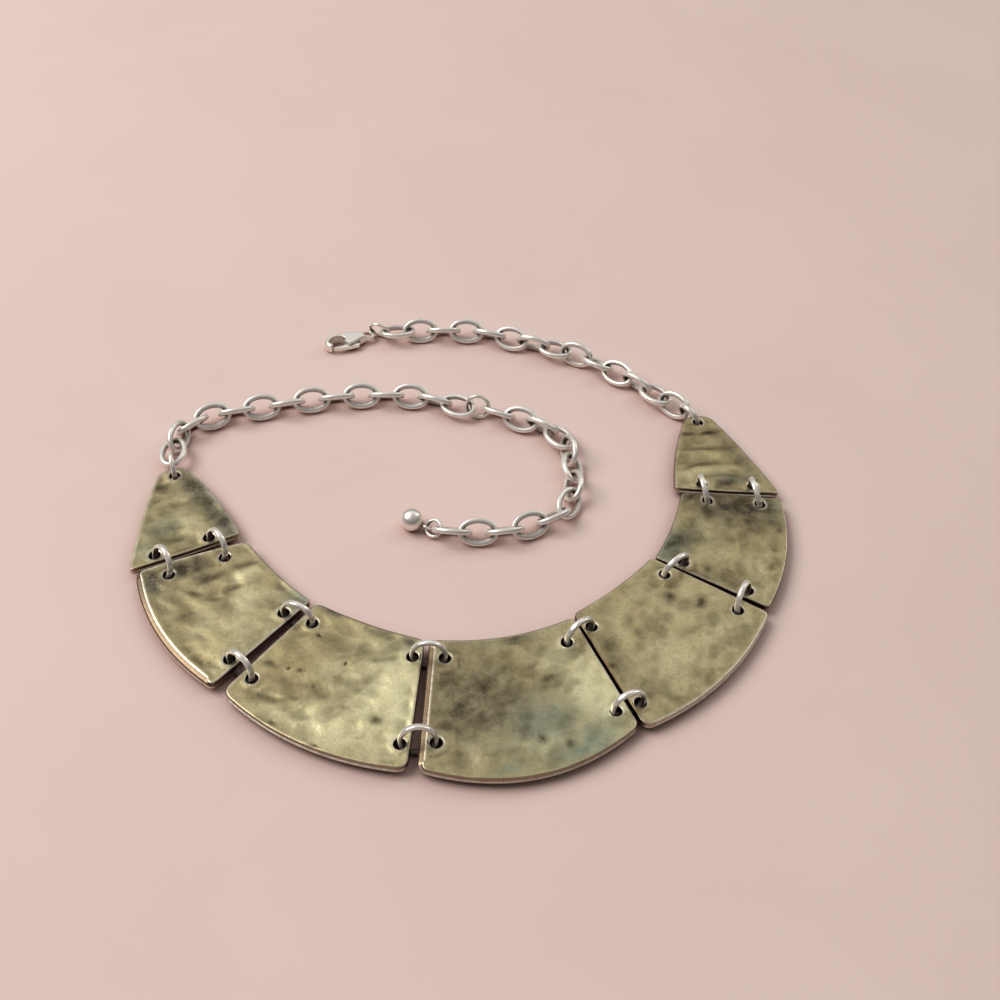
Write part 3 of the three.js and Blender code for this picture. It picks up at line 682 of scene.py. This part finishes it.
# The outline as evenly spaced points, their outward directions, and the edge each is on.
def walkOutline(outline, side, step):
    corners = outlineCorners(outline, side)
    edges = []
    for i, (x, y, rounding, bulge, _) in enumerate(corners):
        nextX, nextY, nextRounding = corners[(i + 1) % len(corners)][:3]
        start, end = np.array((x, y)), np.array((nextX, nextY))
        line = end - start
        length = np.hypot(*line)
        outward = np.array((line[1], -line[0])) / length
        control = (start + end) / 2 + outward * 2 * bulge
        edge = curvePoints(start, control, end, edgeSteps, rounding / length, 1 - nextRounding / length)
        edges.append((edge, end))
    points, labels = [], []
    for i, (edge, corner) in enumerate(edges):
        following = edges[(i + 1) % len(edges)][0][0]
        bend = curvePoints(edge[-1], corner, following, bendSteps)[1:-1]
        half = len(bend) // 2
        points += [edge, bend]
        labels += [corners[i][4]] * (len(edge) + half)
        labels += [corners[(i + 1) % len(corners)][4]] * (len(bend) - half)
    return evenLoop(np.concatenate(points), np.array(labels), step)


def evenLoop(points, labels, step):
    closed = np.vstack([points, points[:1]])
    travel = np.concatenate([[0], np.cumsum(np.hypot(*np.diff(closed, axis=0).T))])
    count = int(round(travel[-1] / step))
    at = np.linspace(0, travel[-1], count, endpoint=False)
    even = np.stack([np.interp(at, travel, closed[:, k]) for k in (0, 1)], 1)
    way = np.roll(even, -1, 0) - np.roll(even, 1, 0)
    outward = np.stack([way[:, 1], -way[:, 0]], 1)
    edge = labels[np.searchsorted(travel, at, side="right") - 1]
    return even, outward / np.hypot(*outward.T)[:, None], edge


# How tightly the outline curves near each of its points, from its outward directions.
def cornerRadius(outward):
    turn = np.arccos(np.clip((outward * np.roll(outward, -1, 0)).sum(1), -1, 1))
    turn = (np.roll(turn, 1) + turn) / 2
    reach = plateSize["cornerReach"]
    turn = np.max([np.roll(turn, k) for k in range(-reach, reach + 1)], 0)
    for _ in range(plateSize["cornerSmooth"]):
        turn = (np.roll(turn, 1) + 2 * turn + np.roll(turn, -1)) / 4
    return plateSize["cell"] / np.maximum(turn, 1e-3)


# Values that each edge has, run together over this many millimetres near the corners.
def edgeValues(values, edge, blend):
    along = np.array(values, float)[edge]
    for _ in range(int(2 * (blend / plateSize["cell"]) ** 2)):
        along = (np.roll(along, 1, 0) + 2 * along + np.roll(along, -1, 0)) / 4
    return along


def holeLoop(x, y, step):
    count = int(round(2 * math.pi * plateSize["holeRadius"] / step))
    angle = np.linspace(0, 2 * math.pi, count, endpoint=False)
    spoke = np.stack([np.cos(angle), np.sin(angle)], 1)
    return np.array((x, y)) + spoke * plateSize["holeRadius"], -spoke


# Squared distances from points to a loop's points, some thousands of points at a time.
def farFrom(points, loop, many=4000):
    for first in range(0, len(points), many):
        part = slice(first, first + many)
        yield part, ((points[part, None, :] - loop[None, :, :]) ** 2).sum(2)


# The number of the loop's point that is nearest to each point.
def nearestOf(points, loop):
    found = np.empty(len(points), int)
    for part, squares in farFrom(points, loop):
        found[part] = np.argmin(squares, 1)
    return found


# The loop's value at each point, run together where several of its points are about as near.
def nearValues(points, loop, values, blend):
    found = np.empty(len(points))
    for part, squares in farFrom(points, loop):
        away = np.sqrt(squares)
        share = np.exp((away.min(1)[:, None] - away) / blend)
        found[part] = share @ values / share.sum(1)
    return found


# How far inside the metal points are: from the outline and from the holes.
def edgeDistance(points, outer, holes):
    loop, outward, _ = outer
    nearest = nearestOf(points, loop)
    offset = points - loop[nearest]
    reach = -np.sign((offset * outward[nearest]).sum(1)) * np.hypot(*offset.T)
    for x, y in holes:
        reach = np.minimum(reach, np.hypot(points[:, 0] - x, points[:, 1] - y) - plateSize["holeRadius"])
    return reach


def smoothStep(values):
    t = np.clip(values, 0, 1)
    return t * t * (3 - 2 * t)


def spot(points, x, y, long, wide, turn):
    angle = math.radians(turn)
    dx, dy = points[:, 0] - x, points[:, 1] - y
    u = dx * math.cos(angle) + dy * math.sin(angle)
    v = -dx * math.sin(angle) + dy * math.cos(angle)
    return np.exp(-((u / long) ** 2 + (v / wide) ** 2))


# The hammered top: overlapping shallow cups, the sheet's long waves, and the single dents.
def relief(name, points, inside, ease, draw):
    spacing, blend = hammer["spacing"], hammer["blend"]
    extent = np.abs(points).max(0) + spacing
    cups = np.zeros(len(points))
    deepest = hammer["depth"] * hammer["calm"].get(name, 1.0)
    rows = np.arange(-extent[1], extent[1], spacing * hammer["rowSpacing"])
    for row, y in enumerate(rows):
        for x in np.arange(-extent[0], extent[0], spacing) + (row % 2) * spacing / 2:
            place = draw.normal((x, y), hammer["scatter"])
            long, wide = draw.uniform(*hammer["long"]), draw.uniform(*hammer["wide"])
            turn, depth = draw.uniform(*hammer["turn"]), deepest * draw.uniform(hammer["lightest"], 1.0)
            cup = depth * spot(points, *place, long, wide, turn)
            cups += np.exp(cup / blend) - 1
    height = -blend * np.log1p(cups)
    for _ in range(hammer["waves"]):
        angle, length = draw.uniform(0, math.pi), draw.uniform(*hammer["waveLength"])
        phase = draw.uniform(*hammer["wavePhase"])
        travel = points[:, 0] * math.cos(angle) + points[:, 1] * math.sin(angle)
        height += hammer["wave"] * np.sin(travel * 2 * math.pi / length + phase)
    for x, y, long, wide, turn, depth, _ in dents[name]:
        height -= depth * spot(points, x, y, long, wide, turn)
    height -= height.max()
    least = hammer["edgeShare"] - hammer["shoulderLoss"] * ease
    keep = least + (1 - least) * smoothStep((inside - plateSize["shoulder"] * ease) / hammer["edgeFade"])
    return height * keep + plateSize["crown"]


def tintOf(name, kind, points):
    total = np.zeros(len(points))
    for x, y, wide, tall, turn, strength in tints[name].get(kind, []):
        total = np.maximum(total, strength * spot(points, x, y, wide, tall, turn))
    return total


def stainAndShadeOf(name, points):
    total = np.zeros(len(points))
    reach = hammer["stainReach"]
    for x, y, long, wide, turn, _, stainAndShade in dents[name]:
        stainAndShade *= hammer["stainAndShade"]
        total = np.maximum(total, stainAndShade * spot(points, x, y, long * reach, wide * reach, turn))
    return total


def loopEdges(bm, points):
    verts = [bm.verts.new((x, y, 0)) for x, y in points]
    return verts, [bm.edges.new((verts[i - 1], verts[i])) for i in range(len(verts))]


def meshFrom(bm, name):
    mesh = bpy.data.meshes.new(name)
    bm.to_mesh(mesh)
    bm.free()
    return mesh


# A flat sheet of small squares, cut back from the outline and the holes.
def cutSquares(bm, outer, holes, outerInset):
    cell = plateSize["cell"]
    low, high = outer[0].min(0), outer[0].max(0)
    middle, size = (low + high) / 2, high - low
    across, down = (int(math.ceil(side / cell)) for side in size)
    place = Matrix.Translation((*middle, 0)) @ Matrix.Diagonal((across * cell / 2, down * cell / 2, 1, 1))
    bmesh.ops.create_grid(bm, x_segments=across, y_segments=down, size=1, matrix=place)
    points = np.array([v.co[:2] for v in bm.verts])
    room = edgeDistance(points, outer, []) - outerInset[nearestOf(points, outer[0])]
    room = np.minimum(room, edgeDistance(points, outer, holes) - plateSize["inset"])
    loose = [v for v, gap in zip(bm.verts, room) if gap < cell * plateSize["room"]]
    while loose:  # also corners that hang on by one vertex, which would stop the stitching
        bmesh.ops.delete(bm, geom=loose, context="VERTS")
        loose = [v for v in bm.verts if sum(e.is_boundary for e in v.link_edges) > 2 or not v.link_faces]


# The squares stitched to the plate's edges and drawn down over them, row by row.
def plateSheet(outer, holes, outerInset, narrow, wearAndLight, kinds):
    cell, inset = plateSize["cell"], plateSize["inset"]
    bm = bmesh.new()
    wearAndHighlightLayer = bm.verts.layers.float.new("wearAndHighlight")
    wallLayer = bm.verts.layers.float.new("wall")
    paintedShadeLayer = bm.verts.layers.float.new("paintedShade")
    numberLayer = bm.verts.layers.int.new("number")
    cutSquares(bm, outer, holes, outerInset)

    stitched = [e for e in bm.edges if e.is_boundary]
    sections = np.array([edgeSections[kind] for kind in kinds], float)
    along = edgeValues(sections.reshape(4, -1), outer[2], plateSize["shapeBlend"])
    sections = along.reshape(len(outer[0]), *sections.shape[1:])
    sections[:, :, 0] *= narrow[:, None]
    loops = [(*outer[:2], outerInset, edgeValues(wearAndLight, outer[2], plateSize["wearAndLightBlend"]), sections)]
    for x, y in holes:
        loop, outward = holeLoop(x, y, cell * plateSize["holeStep"])
        many = len(loop)
        loops.append((loop, outward, np.full(many, inset), [holeWearAndLight] * many, [holeSection] * many))
    base, direction, wornAndLit, profile, drops = [], [], [], [], []
    for loop, outward, start, values, sections in loops:
        verts, edges = loopEdges(bm, loop - outward * start[:, None])
        for k, vert in enumerate(verts):
            vert[numberLayer] = len(base) + k
            vert[wearAndHighlightLayer] = plateSize["innerRim"] * values[k][0] * sections[k][0][2]
        base += list(loop)
        direction += list(outward)
        wornAndLit += list(values)
        profile += list(sections)
        drops.append((edges, len(sections[0])))
        stitched += edges
    bmesh.ops.triangle_fill(bm, use_beauty=True, use_dissolve=False, edges=stitched, normal=(0, 0, 1))
    for edges, rows in drops:
        for row in range(rows):
            made = bmesh.ops.extrude_edge_only(bm, edges=edges)["geom"]
            for vert in (item for item in made if isinstance(item, bmesh.types.BMVert)):
                number = vert[numberLayer]
                out, below, wearAndHighlight, wall, takes = profile[number][row]
                x, y = base[number] + direction[number] * out
                vert.co = (x, y, -below)
                # the corner's brightness is partly a painted highlight; the dark of the cut edge and the
                # underside is painted shade
                top, paintedShade, lip = wornAndLit[number]
                vert[wearAndHighlightLayer] = wearAndHighlight * (top if below < plateSize["lip"] else lip)
                vert[wallLayer] = wall
                vert[paintedShadeLayer] = plateSize["under"] if row >= rows - plateSize["underRows"] else paintedShade * takes
            edges = [item for item in made if isinstance(item, bmesh.types.BMEdge) and item.is_boundary]
    bottom = [e for e in bm.edges if e.is_boundary]
    bmesh.ops.triangle_fill(bm, use_beauty=True, use_dissolve=False, edges=bottom, normal=(0, 0, -1))
    bmesh.ops.recalc_face_normals(bm, faces=bm.faces)
    return bm


# The stitching can leave a gap where the squares meet the outline badly; then the next step is tried.
def plateMesh(outline, side, wearAndLight, kinds):
    holes = [(side * x, y) for x, y in outlines[outline]["holes"]]
    for step in plateSize["steps"]:
        outer = walkOutline(outline, side, plateSize["cell"] * step)
        ease = edgeValues([float(kind == "shoulder") for kind in kinds], outer[2], plateSize["shapeBlend"])
        full = plateSize["inset"] + (plateSize["shoulder"] - plateSize["inset"]) * ease
        outerInset = np.minimum(full, plateSize["insetLimit"] * cornerRadius(outer[1]))
        bm = plateSheet(outer, holes, outerInset, outerInset / full, wearAndLight, kinds)
        if step == plateSize["steps"][-1] or all(edge.is_manifold for edge in bm.edges):
            break
        bm.free()
    return meshFrom(bm, outline), outer, holes, ease


hair = 1e-7  # metres


def readPoints(mesh):
    flat = np.empty(len(mesh.vertices) * 3, np.float32)
    mesh.vertices.foreach_get("co", flat)
    return flat.reshape(-1, 3).astype(float)


def writePoints(mesh, points):
    mesh.vertices.foreach_set("co", points.astype(np.float32).ravel())
    mesh.update()


def writeMask(mesh, name, values):
    layer = mesh.attributes.get(name) or mesh.attributes.new(name, "FLOAT", "POINT")
    layer.data.foreach_set("value", np.asarray(values, np.float32))


def readMask(mesh, name):
    values = np.empty(len(mesh.vertices), np.float32)
    mesh.attributes[name].data.foreach_get("value", values)
    return values


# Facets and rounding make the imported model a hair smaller, and no piece stands out of it.
def finishPiece(name, mesh, material, node, body="choker"):
    mesh.name = name
    low, high = np.array(cadBox[0]) + hair, np.array(cadBox[1]) - hair
    writePoints(mesh, np.clip(readPoints(mesh), low, high))
    mesh.shade_smooth()
    mesh.materials.append(material)
    obj = newObject(name, mesh)
    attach(obj, body)
    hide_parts(node)


def makePlate(name, seed):
    outline, side, x, y, turn = plates[name]
    kinds = shoulderedEdges.get(name, commonEdges)
    mesh, outer, holes, ease = plateMesh(outline, side, edgeWearAndLight[name], kinds)
    points = readPoints(mesh)
    flat = points[:, :2]
    inside = edgeDistance(flat, outer, holes)
    ease = nearValues(flat, outer[0], ease, plateSize["easeBlend"])
    draw = np.random.default_rng(seed)
    height = relief(name, flat, inside, ease, draw)
    share = 1 + points[:, 2] / plateSize["thickness"]
    # the tints of the finish, with the painted reflections
    for kind in ("smoke", "bloom", "paintedReflection", "warm"):
        writeMask(mesh, kind, tintOf(name, kind, flat))
    shallow, deepest = np.percentile(height, hammer["hollows"])
    hollow = hammer["hollowDarkening"] * smoothStep((shallow - height) / (shallow - deepest))
    clear = smoothStep((inside - plateSize["shoulder"] * ease) / hammer["stainFrom"])
    # the dents' stains and painted shade, and the darkened lowest parts of the relief
    stainAndShade = np.maximum(stainAndShadeOf(name, flat), hollow) * clear
    steep, start = hammer["stainFade"]
    writeMask(mesh, "stainAndShade", stainAndShade * smoothStep(share * steep - start))
    points[:, 2] += plateSize["top"] - plateSize["crown"] + height * share
    angle = math.radians(turn)
    turned = np.stack([
        flat[:, 0] * math.cos(angle) - flat[:, 1] * math.sin(angle) + x + layoutShift.x,
        flat[:, 0] * math.sin(angle) + flat[:, 1] * math.cos(angle) + y + layoutShift.y,
        points[:, 2],
    ], 1)
    writePoints(mesh, turned * mm)
    finishPiece("hammered_" + name, mesh, hammeredBrass, name)


firstSeed = 11
for number, plateName in enumerate(plates):
    makePlate(plateName, firstSeed + number)

print("rings and chain")

wires = {
    # length and width outside, thickness in the ring's plane and across it, steps round the ring and the wire
    "plateRing": (7.5, 7.5, 0.9, 1.22, 120, 20),
    "endRing": (6.6, 6.6, 0.9, 1.08, 120, 20),
    "extenderRing": (6.2, 6.2, 0.85, 0.85, 96, 16),
    "claspRing": (5.8, 5.8, 0.8, 0.8, 96, 16),
    "ballRing": (4.2, 4.2, 0.7, 0.7, 80, 16),
    "link": (8.9, 6.2, 1.27, 1.27, 88, 18),
    "ballLoop": (2.6, 2.6, 0.54, 0.54, 48, 12),
}
wireFinish = {
    "squareness": 2.5,  # of a link's wire; 2 is a round wire
    "ringSquareness": 2.9,
    "contact": 0.68,  # how far the painted shade and dirt of a contact spreads along the wire, as a share of its half
    "seam": 0.15,  # how dark the joint in the wire is, and how wide
    "seamWidth": 0.12,
    "inner": 0.50,  # painted shade on a link's wire towards the inside of its loop
    "ringInner": 0.12,
    "innerFade": (0.9, 0.25),
    "dull": 0.95,  # painted shade on the jump rings under the plates, from this height down
    "shadedBelow": 2.1,
    "shadeFade": 0.6,
}
spinRadius = 2.0  # of the circle that each wire is spun on before it gets its size


# A closed loop of wire lying flat, long way along x, with the painted shade and dirt of its contacts and
# inner side as a mask.
def wireMesh(kind, seam=None):
    length, width, radial, axial, around, section = wires[kind]
    halfLength, halfWidth = (length - radial) / 2, (width - radial) / 2
    bm = bmesh.new()
    made = bmesh.ops.create_circle(bm, cap_ends=False, segments=section, radius=0.5)["verts"]
    bmesh.ops.rotate(bm, verts=made, cent=(0, 0, 0), matrix=Matrix.Rotation(math.pi / 2, 3, "X"))
    bmesh.ops.translate(bm, verts=made, vec=(spinRadius, 0, 0))
    bmesh.ops.spin(
        bm, geom=bm.edges[:], cent=(0, 0, 0), axis=(0, 0, 1), dvec=(0, 0, 0), angle=2 * math.pi, steps=around,
        use_merge=True, use_duplicate=False,
    )
    bmesh.ops.recalc_face_normals(bm, faces=bm.faces)
    mesh = meshFrom(bm, kind)
    points = readPoints(mesh)
    angle = np.arctan2(points[:, 1], points[:, 0])
    out, up = (np.hypot(points[:, 0], points[:, 1]) - spinRadius) * 2, points[:, 2] * 2
    power, inner = wireFinish["squareness"], wireFinish["inner"]
    if kind != "link":
        power, inner = wireFinish["ringSquareness"], wireFinish["ringInner"]
    swell = (np.abs(out) ** power + np.abs(up) ** power) ** (-1 / power)
    out, up = out * swell, up * swell
    normal = np.stack([halfWidth * np.cos(angle), halfLength * np.sin(angle)], 1)
    normal /= np.hypot(*normal.T)[:, None]
    reach = out * radial / 2
    bent = np.stack([
        halfLength * np.cos(angle) + reach * normal[:, 0],
        halfWidth * np.sin(angle) + reach * normal[:, 1],
        up * axial / 2,
    ], 1)
    # painted shade and dirt inside the two ends, where the neighbours bear, and along the inside of the loop
    end = np.clip(np.abs(np.cos(angle)) - (1 - wireFinish["contact"]), 0, 1) / wireFinish["contact"]
    steep, start = wireFinish["innerFade"]
    dirtAndShade = np.maximum(smoothStep(end), inner) * smoothStep(-out * steep + start)
    if seam is not None:
        turn = np.abs((angle - math.radians(seam) + math.pi) % (2 * math.pi) - math.pi) * halfLength
        joint = np.exp(-(turn / wireFinish["seamWidth"]) ** 2)
        dirtAndShade = np.maximum(dirtAndShade, joint * wireFinish["seam"])
    writePoints(mesh, bent)
    writeMask(mesh, "dirtAndShade", dirtAndShade)
    return mesh


# The place and directions of a ring or link, from the solid that stands for it.
def wirePlace(node):
    points = readPoints(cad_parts[node].data)
    centre = points.mean(0)
    _, directions = np.linalg.eigh((points - centre).T @ (points - centre))
    across = Vector(directions[:, 0])
    if across.z < 0:
        across = -across
    along = Vector(directions[:, 2])
    return Vector(centre), along.normalized(), across.normalized()


def wireMatrix(centre, along, across):
    beside = across.cross(along)
    turn = Matrix((along, beside, across)).transposed()
    return Matrix.Translation(centre) @ turn.to_4x4() @ Matrix.Scale(mm, 4)


def makeRing(node, kind, seam):
    mesh = wireMesh(kind, seam)
    centre, _, across = wirePlace(node)
    mesh.transform(wireMatrix(centre, Vector((0, 0, 1)).cross(across).normalized(), across))
    # painted shade on the jump rings' lower parts, under the plates
    if kind == "plateRing":
        depth = wireFinish["shadedBelow"] - readPoints(mesh)[:, 2] / mm
        dull = wireFinish["dull"] * smoothStep(depth / wireFinish["shadeFade"])
        writeMask(mesh, "dirtAndShade", np.maximum(readMask(mesh, "dirtAndShade"), dull))
    finishPiece("wire_" + node, mesh, ringSilver, node)


def linkMesh(number, place):
    mesh = wireMesh("link", seam=90 if number % 2 else -90)
    mesh.transform(place)
    return mesh


def makeLink(node, number):
    mesh = linkMesh(number, wireMatrix(*wirePlace(node)))
    finishPiece("wire_" + node, mesh, chainSilver, node)


nodeNames = sorted(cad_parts)
ringSeams = {
    # the kind of wire and where its joint is, in degrees round the ring
    "end_ring_left": ("endRing", 200),
    "end_ring_right": ("endRing", 200),
    "extender_ring": ("extenderRing", 60),
    "clasp_ring": ("claspRing", 80),
    "ball_ring": ("ballRing", 100),
}
firstSeam, seamStep = 250, 13  # of the rings between the plates
for count, node in enumerate(n for n in nodeNames if n.startswith("plate_ring")):
    makeRing(node, "plateRing", firstSeam + seamStep * count)
for node, (kind, seam) in ringSeams.items():
    makeRing(node, kind, seam)
for count, node in enumerate(n for n in nodeNames if "_link_" in n):
    makeLink(node, count)

# The extension chain: a smooth line through its joints, the turn of each link about it, and how much
# closer than the pitch some joints are. A few links make up each solid.
extender = {
    "pitch": 5.85,
    "lowest": 2.6,  # height of a link's middle
    "wire": 1.3,
    "fine": 100,  # steps between two points of the route
    "route": [
        (1.4, 35.1), (6.8, 33.2), (12.4, 31.5), (17.2, 28.9), (20.5, 24.9), (21.6, 20.0), (21.9, 14.6),
        (22.1, 8.5), (19.6, 3.3), (14.8, 0.1), (9.4, -2.6), (3.9, -3.8), (-1.6, -4.2), (-7.2, -4.1),
    ],
    "rolls": [-42, 40, -64, 0, 68, -35, 50, -42, 45, -45, 45, -45, 45],
    "slack": [0.1, 0.1, 0.6, 0.8, 0.7, 0.3, 0, 0.4, 0.1, 0, 0.1, 0.2, 0.3],
    "solids": [3, 3, 3, 4],
}


# Between two values, by where t lies between their two knots.
def blendAt(t, first, last, before, after):
    return (last - t) / (last - first) * before + (t - first) / (last - first) * after


# A centripetal spline through the route's points, finely stepped.
def smoothRoute(route, steps):
    points = [np.array(p, float) for p in route]
    points = [2 * points[0] - points[1]] + points + [2 * points[-1] - points[-2]]
    fine = []
    for i in range(1, len(points) - 2):
        near = points[i - 1:i + 3]
        knots = [0.0]
        for before, after in zip(near, near[1:]):
            knots.append(knots[-1] + np.hypot(*(after - before)) ** 0.5)
        t = np.linspace(knots[1], knots[2], steps, endpoint=False)[:, None]
        first = [blendAt(t, knots[k], knots[k + 1], near[k], near[k + 1]) for k in range(3)]
        second = [blendAt(t, knots[k], knots[k + 2], first[k], first[k + 1]) for k in range(2)]
        fine.append(blendAt(t, knots[1], knots[2], *second))
    return np.vstack([*fine, points[-2]])


def extenderPlaces():
    fine = smoothRoute(extender["route"], extender["fine"])
    joints, at = [fine[0]], 0
    for slack in extender["slack"]:
        step = extender["pitch"] - slack
        while at < len(fine) - 1 and np.hypot(*(fine[at] - joints[-1])) < step:
            at += 1
        way = fine[at] - joints[-1]
        joints.append(joints[-1] + way / np.hypot(*way) * step)
    width, wire = wires["link"][1], extender["wire"]
    places = []
    for i, roll in enumerate(extender["rolls"]):
        way = joints[i + 1] - joints[i]
        lean = abs(math.sin(math.radians(roll)))
        rest = (width - wire) / 2 * lean + wire / 2
        centre = (joints[i] + joints[i + 1]) / 2
        centre = Vector((*centre, max(rest, extender["lowest"]))) + layoutShift
        turn = Euler((math.radians(roll), 0, math.atan2(way[1], way[0])), "XYZ")
        places.append(Matrix.Translation(centre * mm) @ turn.to_matrix().to_4x4() @ Matrix.Scale(mm, 4))
    return places


def joinMeshes(name, meshes):
    bm = bmesh.new()
    for mesh in meshes:
        bm.from_mesh(mesh)
    return meshFrom(bm, name)


def makeExtender():
    links = [linkMesh(i, place) for i, place in enumerate(extenderPlaces())]
    for number, count in enumerate(extender["solids"], 1):
        node = f"extender_chain_{number}"
        finishPiece("wire_" + node, joinMeshes(node, links[:count]), chainSilver, node)
        links = links[count:]


makeExtender()

print("ball")

ball = {
    "place": (-12.6, -1.6, 2.45),
    "heading": -17,
    "pitch": -14,
    "roll": -45,
    "radius": 2.45,
    "segments": (64, 40),
    "collar": (0.75, 0.5, 0.5),  # radius at the ball and at the loop, and length
    "collarSegments": 32,
    "sink": 0.1,  # how far the loop is let into it
    "dark": 0.9,  # painted shade and dirt round the collar: how dark, how far down the ball and how softly
    "darkDown": 0.35,
    "darkFade": 0.3,
}


def makeBall():
    radius, sink = ball["radius"], ball["sink"]
    bm = bmesh.new()
    around, down = ball["segments"]
    bmesh.ops.create_uvsphere(bm, u_segments=around, v_segments=down, radius=radius)
    wide, narrow, length = ball["collar"]
    collar = bmesh.ops.create_cone(
        bm, cap_ends=True, segments=ball["collarSegments"], radius1=wide, radius2=narrow, depth=length
    )["verts"]
    bmesh.ops.rotate(bm, verts=collar, cent=(0, 0, 0), matrix=Matrix.Rotation(math.pi / 2, 3, "Y"))
    bmesh.ops.translate(bm, verts=collar, vec=(radius + sink, 0, 0))
    sphere = meshFrom(bm, "sphere")
    points = readPoints(sphere)
    # painted shade and dirt round the collar
    collarDark = smoothStep((points[:, 0] - radius + ball["darkDown"]) / ball["darkFade"]) * ball["dark"]
    writeMask(sphere, "dirtAndShade", collarDark)
    loop = wireMesh("ballLoop")
    loop.transform(Matrix.Rotation(math.radians(ball["roll"]), 4, "X"))
    loop.transform(Matrix.Translation((radius + wires["ballLoop"][0] / 2 - sink, 0, 0)))
    mesh = joinMeshes("ball", [sphere, loop])
    turn = Euler((0, math.radians(-ball["pitch"]), math.radians(ball["heading"])), "XYZ").to_matrix().to_4x4()
    place = Matrix.Translation((Vector(ball["place"]) + layoutShift) * mm)
    mesh.transform(place @ turn @ Matrix.Scale(mm, 4))
    finishPiece("satin_end_ball", mesh, ballSilver, "end_ball")


makeBall()

print("clasp")

clasp = {
    "merge": 0.001,  # corners of the solid that are one
    "cell": 0.09,  # size of the finer skin
    "soften": 0.5,
    "passes": 8,
}


# A finer, softened skin of a cast piece: its faceted solid merged, covered evenly and smoothed.
def castPiece(node, body):
    bm = bmesh.new()
    bm.from_mesh(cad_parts[node].data)
    bmesh.ops.remove_doubles(bm, verts=bm.verts, dist=clasp["merge"] * mm)
    obj = newObject("cast_" + node, meshFrom(bm, node))
    cover = obj.modifiers.new("cover", "REMESH")
    cover.mode = "VOXEL"
    cover.voxel_size = clasp["cell"] * mm
    soften = obj.modifiers.new("soften", "SMOOTH")
    soften.factor = clasp["soften"]
    soften.iterations = clasp["passes"]
    graph = bpy.context.evaluated_depsgraph_get()
    covered = bpy.data.meshes.new_from_object(obj.evaluated_get(graph))
    bpy.data.objects.remove(obj)
    covered.materials.clear()
    covered.attributes.new("dirtAndShade", "FLOAT", "POINT")
    finishPiece("cast_" + node, covered, claspSilver, node, body)


castPiece("clasp_body", "choker")
castPiece("clasp_lever", "lever")

print("floor")

floor = {
    "size": 6.0,
    "colour": (0.80, 0.632, 0.583, 1),
    "shade": (0.765, 0.60, 0.552, 1),
    "cloud": (14.0, 0.3, 0.7),
    "under": (0.055, 0.013, 0.011, 1),  # painted shadow in the choker's gaps and right beneath it
    "near": (0.65, 0.40, 0.345, 1),  # painted shadow close beside it
    "reach": 5.0,  # how near the choker the painted shadow reaches
    "samples": 8,
    "underSky": (0.18, 0.42),  # share of open sky over those two: at the darkest and at the end
    "nearSky": (0.45, 0.95),
    "nearShare": 0.7,
    "roughness": 0.9,
    "gloss": 0.05,
}


def makeFloor():
    bm = bmesh.new()
    bmesh.ops.create_grid(bm, x_segments=1, y_segments=1, size=floor["size"] / 2)
    mesh = meshFrom(bm, "floor")
    made, tree, shader, place = newMaterial("palePaper")
    colour = mixColour(tree, mottled(tree, place, floor["cloud"]), floor["colour"], floor["shade"])
    # painted shadow: the floor's colour darkens where the choker hides its sky
    reach = {"Distance": floor["reach"] * mm}
    sky = addNode(tree, "ShaderNodeAmbientOcclusion", reach, samples=floor["samples"]).outputs["AO"]
    near = remap(tree, sky, *floor["nearSky"], floor["nearShare"], 0.0)
    colour = mixColour(tree, near, colour, floor["near"])
    colour = mixColour(tree, remap(tree, sky, *floor["underSky"], 1.0, 0.0), colour, floor["under"])
    feed(tree, shader.inputs["Base Color"], colour)
    shader.inputs["Roughness"].default_value = floor["roughness"]
    shader.inputs["Specular IOR Level"].default_value = floor["gloss"]
    mesh.materials.append(made)
    newObject("floor", mesh)


# A pale room: brightest beyond the choker, darker towards the horizon.
room = {
    "back": (0.94, 0.93, 0.90, 1),  # beyond the choker, at the height that the plates mirror
    "front": (0.36, 0.35, 0.34, 1),  # behind the camera
    "turn": (-0.1, 0.45),  # where one goes over into the other
    "low": 0.18,  # share of that near the horizon
    "high": 0.55,  # and overhead
    "rise": (0.40, 0.74),  # heights between which it brightens, and dims again
    "fall": (0.84, 0.98),
}


def makeRoom():
    world = bpy.data.worlds.new("room")
    world.use_nodes = True
    tree = world.node_tree
    tree.nodes.clear()
    way = addNode(tree, "ShaderNodeTexCoord").outputs["Generated"]
    parts = addNode(tree, "ShaderNodeSeparateXYZ", {0: way})
    colour = mixColour(tree, remap(tree, parts.outputs["Y"], *room["turn"]), room["front"], room["back"])
    rise = remap(tree, parts.outputs["Z"], *room["rise"], room["low"], 1.0)
    fall = remap(tree, parts.outputs["Z"], *room["fall"], 1.0, room["high"])
    light = addNode(tree, "ShaderNodeBackground", {"Color": colour, "Strength": times(tree, rise, fall)})
    out = addNode(tree, "ShaderNodeOutputWorld")
    tree.links.new(light.outputs[0], out.inputs["Surface"])
    scene.world = world


makeFloor()
makeRoom()
